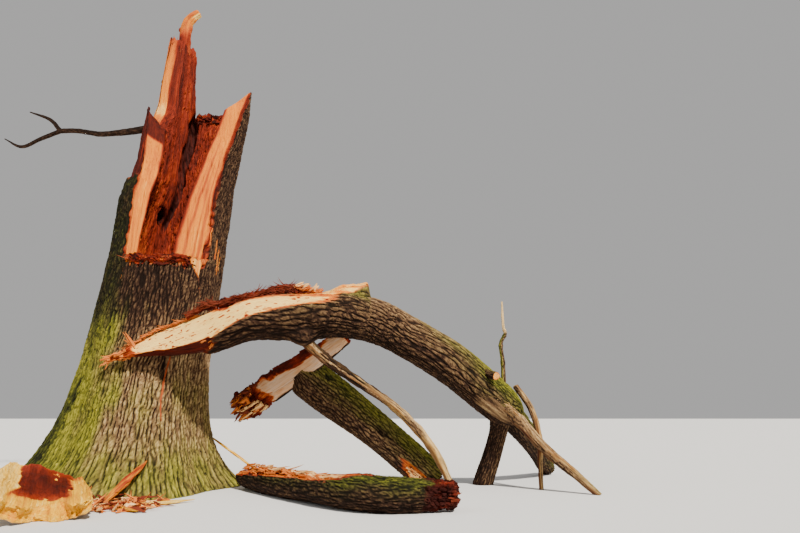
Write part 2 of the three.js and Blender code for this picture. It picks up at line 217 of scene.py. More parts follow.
@dataclass(frozen=True)
class BarkPattern:
    """Long interlacing ridges with furrows between them.

    Attributes:
        radius: The radius that the pattern is wrapped round, in metres.
        cell: The distance between two furrows, in metres.
        stretch: How many times longer than wide a ridge is.
        salt: The pattern's number.
    """

    radius: float
    cell: float = 0.054
    stretch: float = 3.8
    salt: int = 11

    def plates(self, u: Array, v: Array, count: int, salt: int) -> tuple[Array, Array]:
        """Splits the unrolled bark into long plates.

        Args:
            u: The place round the limb, in plates.
            v: The place along it, in plates.
            count: How many plates go round.
            salt: The layer's number.

        Returns:
            The distance from the nearest furrow, and how far that furrow runs lengthwise.
        """
        nearest = np.full(u.shape, 9.0)
        second = nearest.copy()
        near_at = np.zeros((2, *u.shape))
        second_at = near_at.copy()
        column, row = np.floor(u).astype(np.int64), np.floor(v).astype(np.int64)
        for step in range(9):
            i, j = column + step % 3 - 1, row + step // 3 - 1
            turned = np.mod(i, count)
            x = i + 0.1 + 0.8 * hashed(turned, j, turned * 0, salt + 1)
            y = j + 0.1 + 0.8 * hashed(turned, j, turned * 0, salt + 2)
            away = np.hypot(x - u, y - v)
            closer = away < nearest
            runner = ~closer & (away < second)
            second_at = np.where(closer, near_at, np.where(runner, np.stack([x, y]), second_at))
            second = np.where(closer, nearest, np.where(runner, away, second))
            near_at = np.where(closer, np.stack([x, y]), near_at)
            nearest = np.where(closer, away, nearest)
        gap = second_at - near_at
        return second - nearest, np.abs(gap[0]) / np.maximum(np.hypot(gap[0], gap[1]), 1e-6)

    def relief(self, turn: Array, length: Array) -> Array:
        """Returns the bark's height, from 0 in a furrow to 1 on a ridge.

        Args:
            turn: The angle round the limb.
            length: The distance along it, in metres.

        Returns:
            One height for each point.
        """
        count = max(5, round(TAU * self.radius / self.cell))
        ring = ringed(turn, self.radius, length * 0.5)
        sway = layered(ring / (self.cell * 2.4), self.salt, 3) - 0.5
        slip = layered(ring / (self.cell * 1.1), self.salt + 5, 2) - 0.5
        u = turn / TAU * count + 1.9 * sway
        v = length / (self.cell * self.stretch) + 0.9 * slip
        gap, across = self.plates(u, v, count, self.salt)
        wide = 0.26 + 0.34 * layered(ring / (self.cell * 1.6), self.salt + 9, 2)
        furrow = (1 - smooth(0.02, 1, gap / wide)) * lerp(0.25, 1, across**2)
        small, small_across = self.plates(2 * u + 7.3, 3.1 * v + 0.4 * sway, 2 * count, self.salt + 50)
        crack = (1 - smooth(0, 0.3, small)) * lerp(0.8, 0.45, small_across)
        grit = layered(ring / (self.cell * 0.28), self.salt + 6, 2)
        height = 1 - furrow - 0.42 * crack * (1 - furrow) - 0.5 * (0.75 - grit) * (1 - furrow)
        return np.clip(height, 0, 1)


def fibres(grain: Array, salt: int, width: float = 0.012, length: float = 0.25) -> Array:
    """Returns the height of long wood fibres from 0 to 1, which run along the grain's third axis."""
    return layered(grain / np.array([width, width, length]), salt, 3)


def rot(grain: Array, salt: int, size: float = 0.06, ratio: float = 2.4) -> Array:
    """Makes crumbly rotten blocks.

    Args:
        grain: The straightened positions.
        salt: The pattern's number.
        size: The size of a block, in metres.
        ratio: How many times longer it is along the grain.

    Returns:
        A height from 0 to 1 for each point.
    """
    bent = grain + 0.4 * size * (layered(grain / (1.4 * size), salt + 3, 2)[..., None] - 0.5)
    number, edge = blocks(bent / np.array([size, size, ratio * size]), salt)
    return np.clip(number * 0.75 + 0.25 * fibres(grain, salt + 7), 0, 1) * smooth(0, 0.14, edge)


# Meshes


@dataclass
class Patch:
    """A sheet of points, rows by columns, with the masks that the finish reads.

    Attributes:
        points: Positions in metres.
        grain: The same positions with the limb straightened along the third axis.
        masks: One number for each point and mask.
        around: Whether the last column joins the first.
        flip: Whether the faces are turned over.
    """

    points: Array
    grain: Array
    masks: Masks = field(default_factory=dict)
    around: bool = False
    flip: bool = False

    def faces(self) -> Array:
        """Returns the sheet's triangles as indices of its points."""
        rows, columns = self.points.shape[:2]
        index = np.arange(rows * columns).reshape(rows, columns)
        if self.around:
            index = np.concatenate([index, index[:, :1]], axis=1)
        a, b, c, d = index[:-1, :-1], index[:-1, 1:], index[1:, 1:], index[1:, :-1]
        if self.flip:
            b, d = d, b
        pairs = [np.stack([a, b, c], -1).reshape(-1, 3), np.stack([a, c, d], -1).reshape(-1, 3)]
        return np.concatenate(pairs)


MASKS = ("relief", "torn", "heart", "moss", "damp_and_shade")


def boxed(sheet: Callable[..., Patch], *shares: Array) -> list[Patch]:
    """Closes a bent box on all six sides.

    Args:
        sheet: What dresses one side, from its places through, round and along the box.
        shares: The places in each of these three directions, from 0 to 1.

    Returns:
        The six sheets.
    """
    sides = []
    for axis, flips in enumerate(((True, False), (False, True), (True, False))):
        for end, flip in zip((0, -1), flips):
            places = [part[[end]] if axis == k else part for k, part in enumerate(shares)]
            places = [part.squeeze(axis) for part in np.meshgrid(*places, indexing="ij")]
            sides.append(sheet(*places, flip=flip))
    return sides


def mesh_of(name: str, patches: Sequence[Patch]) -> Piece:
    """Welds patches into one mesh object.

    Args:
        name: The piece's name.
        patches: Its sheets, which share the points of their borders.

    Returns:
        The new object, with the masks as point attributes.
    """
    points = np.concatenate([patch.points.reshape(-1, 3) for patch in patches])
    grain = np.concatenate([patch.grain.reshape(-1, 3) for patch in patches])
    masks = {
        mask: np.concatenate(
            [np.broadcast_to(p.masks.get(mask, 0.0), p.points.shape[:-1]).reshape(-1) for p in patches]
        )
        for mask in MASKS
    }
    offsets = np.cumsum([0] + [patch.points[..., 0].size for patch in patches])
    faces = np.concatenate([patch.faces() + start for patch, start in zip(patches, offsets)])
    places = np.round(points * WELDS_PER_METRE).astype(np.int64)
    _, first, where = np.unique(places, axis=0, return_index=True, return_inverse=True)
    faces = where.reshape(-1)[faces]
    whole = (faces != np.roll(faces, 1, axis=1)).all(axis=1)
    kept = {mask: values[first] for mask, values in masks.items()}
    return raw_mesh(name, points[first], faces[whole], grain[first], kept)


def placed(name: str, data: bpy.types.ID) -> Piece:
    """Adds an object to the scene.

    Args:
        name: Its name.
        data: Its mesh, lamp or camera.

    Returns:
        The new object.
    """
    piece = bpy.data.objects.new(name, data)
    bpy.context.scene.collection.objects.link(piece)
    return piece


def raw_mesh(name: str, points: Array, faces: Array, grain: Array, masks: Masks) -> Piece:
    """Makes a mesh object from arrays and links it to the scene.

    Args:
        name: The piece's name.
        points: Positions in metres.
        faces: Triangles as indices of the points.
        grain: The straightened positions.
        masks: One number for each point and mask.

    Returns:
        The new object.
    """
    mesh = bpy.data.meshes.new(name)
    mesh.vertices.add(len(points))
    mesh.vertices.foreach_set("co", points.astype(np.float32).ravel())
    mesh.loops.add(faces.size)
    mesh.loops.foreach_set("vertex_index", faces.astype(np.int32).ravel())
    mesh.polygons.add(len(faces))
    mesh.polygons.foreach_set("loop_start", np.arange(0, faces.size, 3, dtype=np.int32))
    mesh.update(calc_edges=True)
    mesh.validate()
    mesh.polygons.foreach_set("use_smooth", np.ones(len(mesh.polygons), dtype=bool))
    mesh.set_sharp_from_angle(angle=math.radians(SHARP_ANGLE))
    for mask, values in masks.items():
        mesh.attributes.new(mask, "FLOAT", "POINT").data.foreach_set("value", values.astype(np.float32))
    straight = mesh.attributes.new("grain", "FLOAT_VECTOR", "POINT")
    straight.data.foreach_set("vector", grain.astype(np.float32).ravel())
    return placed(name, mesh)


# Finishes


class Shader:
    """Adds nodes to one material and joins them."""

    def __init__(self, name: str) -> None:
        """Starts an empty material.

        Args:
            name: The material's name.
        """
        self.material = bpy.data.materials.new(name)
        self.material.use_nodes = True
        self.tree = self.material.node_tree
        self.surface = self.tree.nodes["Principled BSDF"]

    def add(self, kind: str, inputs: dict | None = None, **settings: object) -> bpy.types.Node:
        """Adds a node.

        Args:
            kind: The node's type, without its prefix.
            inputs: Values or sockets for its inputs.
            settings: Its own properties.

        Returns:
            The new node.
        """
        node = self.tree.nodes.new("ShaderNode" + kind)
        for key, value in settings.items():
            setattr(node, key, value)
        for key, value in (inputs or {}).items():
            self.put(node.inputs[key], value)
        return node

    def put(self, socket: Socket, value: object) -> None:
        """Sets a socket.

        Args:
            socket: The socket.
            value: Its value, or another socket that it is joined to.
        """
        if isinstance(value, bpy.types.NodeSocket):
            self.tree.links.new(value, socket)
        else:
            socket.default_value = value

    def finished(self, values: dict[str, object]) -> bpy.types.Material:
        """Sets the surface's inputs.

        Args:
            values: A value or a socket for each input.

        Returns:
            The finished material.
        """
        for name, value in values.items():
            self.put(self.surface.inputs[name], value)
        return self.material

    def mask(self, name: str) -> Socket:
        """Returns a mask that the mesh carries."""
        return self.add("Attribute", attribute_name=name).outputs["Fac"]

    def grain(self, across: float, along: float) -> Socket:
        """Returns the straightened position, scaled across and along the grain."""
        at = self.add("Attribute", attribute_name="grain").outputs["Vector"]
        return self.add("VectorMath", {0: at, 1: (across, across, along)}, operation="MULTIPLY").outputs[0]

    def noise(self, vector: Socket, detail: float = 4, rough: float = 0.6) -> Socket:
        """Returns noise from 0 to 1 at a scaled position."""
        inputs = {"Vector": vector, "Scale": 1.0, "Detail": detail, "Roughness": rough}
        return self.add("TexNoise", inputs).outputs["Fac"]

    def sum(self, *parts: tuple[object, float]) -> Socket:
        """Adds up sockets or numbers.

        Args:
            parts: Each one with its weight.

        Returns:
            The sum.
        """
        total = 0.0
        for value, weight in parts:
            total = self.add("Math", {0: value, 1: weight, 2: total}, operation="MULTIPLY_ADD").outputs[0]
        return total

    def ramp(self, value: Socket, places: Sequence[float], colours: Sequence[Colour]) -> Socket:
        """Colours by a value.

        Args:
            value: The value.
            places: The values at which the colours stand.
            colours: The colours.

        Returns:
            The colour.
        """
        node = self.add("ValToRGB", {"Fac": value})
        elements = node.color_ramp.elements
        while len(elements) < len(places):
            elements.new(1.0)
        for element, place, colour in zip(elements, places, colours):
            element.position = place
            element.color = (*colour, 1.0)
        return node.outputs["Color"]

    def step(self, value: Socket, low: float, high: float) -> Socket:
        """Returns a soft step from 0 at low to 1 at high."""
        inputs = {"Value": value, "From Min": low, "From Max": high}
        return self.add("MapRange", inputs, interpolation_type="SMOOTHSTEP").outputs["Result"]

    def blend(self, share: object, first: object, second: object, how: str = "MIX") -> Socket:
        """Mixes two colours.

        Args:
            share: How much of the second there is.
            first: The first.
            second: The second.
            how: How they are blended.

        Returns:
            The mixed colour.
        """
        node = self.add("Mix", {0: share}, data_type="RGBA", blend_type=how)
        self.put(node.inputs[6], first)
        self.put(node.inputs[7], second)
        return node.outputs[2]


@dataclass(frozen=True)
class SkinFinish:
    """Bark, moss and torn wood in one finish, told apart by the mesh's masks.

    Attributes:
        name: The material's name.
        bark: Colours from the furrows up to the ridges; the first, near black, stands for the furrows' own
            dark bark with painted shade in them.
        wood: Colours from sound pale wood to rotten heartwood; the last, near black, also paints shade into
            the deepest recesses.
        moss: Dark and light moss.
        line_tint: What the dark lines in the wood multiply its colour by.
        fine: The size of the finest grain, in marks per metre.
        gloss: The roughness of bark and of wood.
    """

    name: str
    bark: tuple[Colour, ...] = (
        (0.01, 0.005, 0.003), (0.044, 0.021, 0.012), (0.185, 0.106, 0.05), (0.52, 0.35, 0.16),
    )
    wood: tuple[Colour, ...] = (
        (0.98, 0.65, 0.19), (0.77, 0.225, 0.013), (0.56, 0.13, 0.018), (0.4, 0.06, 0.011),
        (0.24, 0.022, 0.006), (0.095, 0.01, 0.004), (0.032, 0.005, 0.003),
    )
    moss: tuple[Colour, ...] = (
        (0.008, 0.009, 0.003), (0.055, 0.058, 0.008), (0.21, 0.195, 0.018), (0.46, 0.4, 0.06),
    )
    line_tint: Colour = (0.26, 0.13, 0.07)
    fine: float = 60.0
    gloss: tuple[float, float] = (0.92, 0.72)

    def make(self) -> bpy.types.Material:
        """Returns the finished material."""
        shade = Shader(self.name)
        relief, torn, heart, moss, damp_and_shade = (shade.mask(mask) for mask in MASKS)
        patch = shade.noise(shade.grain(5.0, 1.6), 3)
        grit = shade.noise(shade.grain(self.fine * 1.3, self.fine * 0.5), 5, 0.65)
        fibre = shade.noise(shade.grain(self.fine * 1.8, 5.0), 5, 0.65)
        streak = shade.noise(shade.grain(14.0, 0.9), 4)
        line = shade.noise(shade.grain(self.fine * 1.1, 1.1), 3, 0.7)
        low = shade.sum((relief, -1.0), (1.0, 1.22))
        # Low relief and the damp_and_shade mask move the bark towards its near-black first colour: the
        # furrows' darker bark with painted shade, and the painted shade of the stains.
        wear_and_shade = shade.sum((relief, 0.92), (grit, 0.5), (patch, 0.3), (damp_and_shade, -0.46), (1.0, -0.34))
        bark = shade.ramp(wear_and_shade, (0.06, 0.34, 0.66, 1.0), self.bark)
        cover = shade.sum((moss, 1.25), (patch, 0.8), (grit, 0.35), (streak, 0.4), (1.0, -0.95))
        # Moss darkens the same way in low relief and under the damp_and_shade mask: painted shade with
        # dampness.
        bloom = shade.sum((relief, 0.75), (grit, 0.55), (patch, 0.5), (damp_and_shade, -0.55), (1.0, -0.42))
        green = shade.ramp(bloom, (0.1, 0.4, 0.72, 1.0), self.moss)
        bark = shade.blend(shade.step(cover, 0.2, 1.0), bark, green)
        age = shade.sum((heart, 1.0), (streak, 0.26), (fibre, 0.24), (1.0, -0.25))
        wood = shade.ramp(age, (0.0, 0.16, 0.3, 0.45, 0.63, 0.82, 1.0), self.wood)
        # Painted shade: where the relief is low the dark grain lines grow stronger, and the deepest recesses
        # take the near-black last wood colour.
        lines = shade.add("Math", {0: shade.step(line, 0.52, 0.66), 1: low}, operation="MULTIPLY").outputs[0]
        wood = shade.blend(lines, wood, (*self.line_tint, 1.0), "MULTIPLY")
        wood = shade.blend(shade.step(relief, 0.32, 0.02), wood, (*self.wood[-1], 1.0))
        colour = shade.blend(torn, bark, wood)
        rough = shade.sum((torn, self.gloss[1] - self.gloss[0]), (grit, 0.1), (1.0, self.gloss[0] - 0.06))
        heights = shade.add("Mix", {0: torn, 2: grit, 3: fibre}).outputs[0]
        bump = shade.add("Bump", {"Strength": 0.9, "Distance": 0.018, "Height": heights}).outputs[0]
        return shade.finished(
            {"Base Color": colour, "Roughness": rough, "Specular IOR Level": 0.1, "Normal": bump}
        )


@dataclass(frozen=True)
class FibreFinish:
    """The finish of loose splinters and strands, one plain colour with fine grain in its relief.

    Attributes:
        name: The material's name.
        colour: The colour of the fibres.
    """

    name: str
    colour: Colour

    def make(self) -> bpy.types.Material:
        """Returns the finished material."""
        shade = Shader(self.name)
        colour, fibre = (*self.colour, 1.0), shade.noise(shade.grain(150.0, 8.0), 4)
        bump = shade.add("Bump", {"Strength": 0.6, "Distance": 0.006, "Height": fibre}).outputs[0]
        return shade.finished(
            {"Base Color": colour, "Roughness": 0.8, "Specular IOR Level": 0.2, "Normal": bump}
        )


# The trunk


@dataclass(frozen=True)
class Root:
    """A root that swells out of the flare.

    Attributes:
        turn: Its direction in degrees.
        reach: How far it stands out at the ground, in metres.
        spread: Its half width in degrees.
        fall: How fast it thins upwards, in metres.
    """

    turn: float
    reach: float
    spread: float
    fall: float


@dataclass(frozen=True)
class Trunk:
    """The rooted stem, its flare, its bark and the places where the bark is off.

    Attributes:
        line: Height, lean in x and y, and radius, in metres.
        roots: The roots.
        flare_reach: How far the flare stands out at the ground.
        flare_fall: How fast it thins upwards.
        folds: Number of shallow folds round the stem.
        fold_depth: Their depth.
        rim: The height of the torn front rim.
        floor_dip: How far the rotten floor lies below the rim.
        opening: The direction of the opening, in degrees.
        relief_depth: The depth of a bark furrow.
        columns: Number of points round the stem.
        join: The height at which the foot meets the stem.
        foot_rows: Number of rings on the foot.
        stem_rows: Number of rings on the stem.
        tooth_rows: Number of rings under the rim that are drawn out into teeth.
        cap_rings: Number of rings that close a flat end.
        pattern: The bark.
    """

    line: tuple[tuple[float, float, float, float], ...] = (
        (0.0, 0.0, 0.0, 0.85), (1.5, 0.098, 0.02, 0.838), (2.4, 0.175, 0.04, 0.828),
        (3.2, 0.232, 0.055, 0.805), (4.05, 0.285, 0.07, 0.808), (4.7, 0.39, 0.085, 0.755),
        (5.7, 0.5, 0.1, 0.785), (7.5, 0.6, 0.12, 0.79),
    )
    roots: tuple[Root, ...] = (
        Root(200, 0.44, 26, 0.62), Root(20, 0.33, 24, 0.43), Root(305, 0.23, 24, 0.42),
        Root(258, 0.2, 20, 0.38), Root(80, 0.26, 26, 0.46), Root(138, 0.25, 24, 0.44),
    )
    flare_reach: float = 0.390
    flare_fall: float = 0.480
    folds: int = 7
    fold_depth: float = 0.016
    rim: float = 3.13
    floor_dip: float = 0.42
    opening: float = 21.5
    relief_depth: float = 0.034
    columns: int = 480
    join: float = 1.35
    foot_rows: int = 84
    stem_rows: int = 108
    tooth_rows: int = 14
    cap_rings: int = 8
    pattern: BarkPattern = BarkPattern(radius=0.85, cell=0.047)

    def radius(self, turn: Array, height: Array) -> Array:
        """Returns the stem's radius before its bark.

        Args:
            turn: The direction from +X, in radians.
            height: The height in metres.

        Returns:
            One radius for each point.
        """
        height = np.maximum(height, 0)
        total = read(self.line, height, 3) + self.flare_reach * np.exp(-height / self.flare_fall)
        total = total + self.fold_depth * np.sin(self.folds * (turn + 0.2 * height))
        for root in self.roots:
            across = wrapped(turn - math.radians(root.turn)) / math.radians(root.spread)
            total = total + root.reach * np.exp(-height / root.fall - across**2)
        return total

    def leaned(self, across: Array, away: Array, height: Array) -> Array:
        """Returns points at a distance from the leaning middle line."""
        return np.stack([across + read(self.line, height), away + read(self.line, height, 2), height], -1)

    def bared(self, turn: Array, height: Array) -> tuple[Array, Array, Array]:
        """Finds where the bark is off.

        Args:
            turn: The direction from +X, in radians.
            height: The height in metres.

        Returns:
            How far the bark is off, from 0 to 1, how dark the bared wood is, and how deep it lies.
        """
        ring = ringed(turn, 1.0, height * 0.35)
        ragged = waver(ring * 14, 1, 1, 61)
        facing = aside(turn, self.opening + 270)
        in_front = smooth(41.5, 39, np.abs(facing + 6 * ragged))
        edge = 2.99 + 0.24 * ragged + 0.12 * waver(ring * 34, 1, 1, 62, 2)
        front = in_front * smooth(0, 0.02, height - edge)
        side = aside(turn, 204)
        side_low = 4.33 + 0.35 * ragged + 0.009 * np.maximum(-side, 0)
        left = smooth(0, 0.03, height - side_low) * smooth(38, 35, np.abs(side + 10 * ragged))
        strip = np.zeros_like(height)
        tongue = np.abs(aside(turn, -39) + 2.4 * ragged - 22 * (3.06 - height))
        tongue = smooth(0.4, -0.4, tongue - 6.4 * smooth(2.83, 3.1, height)) * (height < self.rim + 0.001)
        for at, low, high, wide in ((-16, 3.16, 3.46, 1.7), (-7, 2.96, 3.36, 2.6), (2, 3.05, 3.25, 1.6)):
            off = aside(turn, at) + 2.4 * ragged
            width = wide * smooth(low - 0.05, low + 0.08, height) * smooth(high + 0.08, high - 0.1, height)
            strip = np.maximum(strip, smooth(width + 0.3, width - 0.3, np.abs(off)) * (width > 0.3))
        bends = [-50, -52.4, -53.8, -53, -51.6, -49.2]
        crack_turn = np.interp(height, [0.84, 1, 1.16, 1.36, 1.6, 1.85], bends) + 1.2 * ragged
        crack = smooth(0.95, 0.35, np.abs(aside(turn, crack_turn)))
        crack = crack * smooth(0.84, 1, height) * smooth(1.85, 1.7, height)
        number, _ = blocks(ring * np.array([7.0, 7.0, 52.0]), 63)
        dark = np.where(crack > 0.3, 0.45, 0.3 + 0.6 * number)
        dark = np.where(left > 0.3, 0.9, np.where(strip > 0.3, 0.22, dark))
        sunk = np.where(strip + crack > 0.3, 0.1, np.where(front > 0.3, 1.5 * number, 1.0))
        dark, sunk = lerp(dark, 0.14, tongue), lerp(sunk, 0, tongue)
        return np.maximum.reduce([front, left, strip, crack, tongue]), dark, sunk

    def bark(self, turn: Array, height: Array) -> tuple[Array, Array, Masks]:
        """Dresses the stem's surface.

        Args:
            turn: The direction from +X, in radians.
            height: The height in metres.

        Returns:
            The dressed radius, the straightened positions and the masks.
        """
        base = self.radius(turn, height)
        wide = 0.85 + 0.35 * (base - 0.85)
        grain = ringed(turn, wide, height)
        relief = self.pattern.relief(turn, height + 0.3 * (base - 0.85))
        bare, dark, sunk = self.bared(turn, height)
        stripped = (0.035 + 0.045 * fibres(grain, 31, 0.02, 0.3)) * sunk
        radius = base + 0.05 * waver(grain, 0.3, 0.55, 21, 2)
        radius = radius + lerp(self.relief_depth * (relief - 0.8), -stripped, bare)
        masks = {
            "relief": lerp(relief, 0.4 + 0.6 * fibres(grain, 35, 0.01, 0.2), bare),
            "torn": bare,
            "heart": np.clip(dark + 0.5 * waver(grain, 0.015, 0.4, 33), 0, 1),
        }
        return radius, grain, masks | self.stains(turn, height)

    def stains(self, turn: Array, height: Array) -> Masks:
        """Spreads the moss, and the dampness together with painted shade, with a slow drift that keeps them
        from ending in straight lines.

        Args:
            turn: The direction from +X, in radians.
            height: The height in metres.

        Returns:
            How mossy the bark is, and how much it is darkened for dampness and painted shade, from 0 to 1.
        """
        ring = ringed(turn, 3.4, 1.3 * height)
        drift = 2.6 * waver(ring, 1, 1, 25)
        moved = turn + 0.6 * drift
        left = smooth(110, 12, np.abs(aside(moved, 208))) * (0.8 + 0.2 * smooth(2.6, 0.6, height))
        front = 0.8 * hill(0, 1, aside(moved, 252) / 42) * hill(1.1, 1, height)
        low = 0.5 * smooth(2, 1.2, height) + 0.25 * smooth(0.8, 0.2, height)
        back = 0.55 * smooth(75, 25, np.abs(aside(moved, 120))) * smooth(3.4, 0.4, height)
        moss = np.clip(np.maximum.reduce([left, front, low, back]), 0, 1)
        # This darkening is painted shade with dampness: the stem is darkened upwards of about 1.4 m, where
        # the fallen butt's shadow falls, most on the front-left and the right, and on the shaded left flank
        # below about 1.5 m.
        left = smooth(120, 45, np.abs(aside(turn, 236)) + 30 * drift)
        right = smooth(100, 60, np.abs(aside(turn, 330)) + 20 * drift)
        shaded_flank = smooth(34, 14, np.abs(aside(turn, 196)) + 12 * drift)
        high = smooth(1.4, 2.7, height + 0.6 * drift) * lerp(0.35, 1, np.maximum(left, 0.65 * right))
        damp_and_shade = np.maximum(high, 0.6 * shaded_flank * smooth(1.5, 0.7, height + 0.4 * drift))
        return {"moss": moss, "damp_and_shade": damp_and_shade}

    def ring_rows(self, heights: Array) -> Patch:
        """Dresses the stem.

        Args:
            heights: Where its rings stand.

        Returns:
            The sheet between the first and the last of them.
        """
        turn, height = np.meshgrid(np.arange(self.columns) * TAU / self.columns, heights)
        radius, grain, masks = self.bark(turn, height)
        points = self.leaned(radius * np.cos(turn), radius * np.sin(turn), height)
        return Patch(points, grain, masks, around=True)

    def disc(self, ring: Patch, row: int, shares: Array, drops: Array, rough: float) -> Patch:
        """Closes a ring towards its middle.

        Args:
            ring: The sheet whose row is closed.
            row: The row's number.
            shares: The radius of each new ring, as a share of the row's.
            drops: How far each new ring lies below the row.
            rough: The height of the torn wood on it.

        Returns:
            The sheet that closes the ring.
        """
        edge = ring.points[row]
        middle = edge.mean(axis=0)
        share = np.array([1.0, *shares])[:, None, None]
        drop = np.array([0.0, *drops])[:, None]
        points = lerp(middle, edge, share)
        torn = rot(points, 71, 0.08, 0.6) + 0.5 * layered(points / 0.12, 72, 2)
        inner = smooth(0, 0.12, 1 - share[..., 0]) * (share[..., 0] > 0)
        points[..., 2] += rough * (torn - 0.6) * inner - drop
        whole = np.ones(torn.shape)
        masks = {"torn": whole, "relief": 0.5 + 0.5 * torn, "heart": 0.62 + 0.35 * inner * torn}
        if rough == 0:
            masks = {"torn": whole, "relief": whole, "heart": 0.25 * whole}
        return Patch(points, points.copy(), masks, around=True, flip=row == 0)

    def build(self) -> list[Piece]:
        """Returns the foot and the stem up to the torn rim."""
        even = 1.0 - np.arange(1, self.cap_rings + 1) / self.cap_rings
        foot = self.ring_rows(np.linspace(0, self.join, self.foot_rows))
        ends = [self.disc(foot, row, even, 0 * even, 0.0) for row in (0, -1)]
        pieces = [mesh_of("trunk_foot", [foot, *ends])]
        stem = self.ring_rows(np.linspace(self.join, self.rim, self.stem_rows))
        rows = self.tooth_rows
        grain, bare = stem.grain[-rows:], stem.masks["torn"][-rows:]
        teeth = 0.7 * waver(grain, 0.13, 9, 81, 2) + 0.3 * waver(grain, 0.04, 9, 83, 2)
        stem.points[-rows:, :, 2] += np.linspace(0, 1, rows)[:, None] ** 1.5 * bare * 0.2 * teeth
        shares = np.concatenate([np.linspace(0.99, 0.78, 12), np.linspace(0.74, 0, 26)])
        drops = self.floor_dip * smooth(1, 0.1, shares) ** 0.8
        top = self.disc(stem, -1, shares, drops, 0.1)
        base = self.disc(stem, 0, even, 0 * even, 0.0)
        pieces.append(mesh_of("trunk_stem", [stem, base, top]))
        return pieces


@dataclass
class Spot:
    """Places in the shell.

    Attributes:
        through: From 0 at the hollow to 1 at the bark.
        around: From 0 at the right arm to 1 at the left one.
        share: From 0 at the foot to 1 at the crest.
        height: The height in metres.
        plain: The position before any relief.
    """

    through: Array
    around: Array
    share: Array
    height: Array
    plain: Array


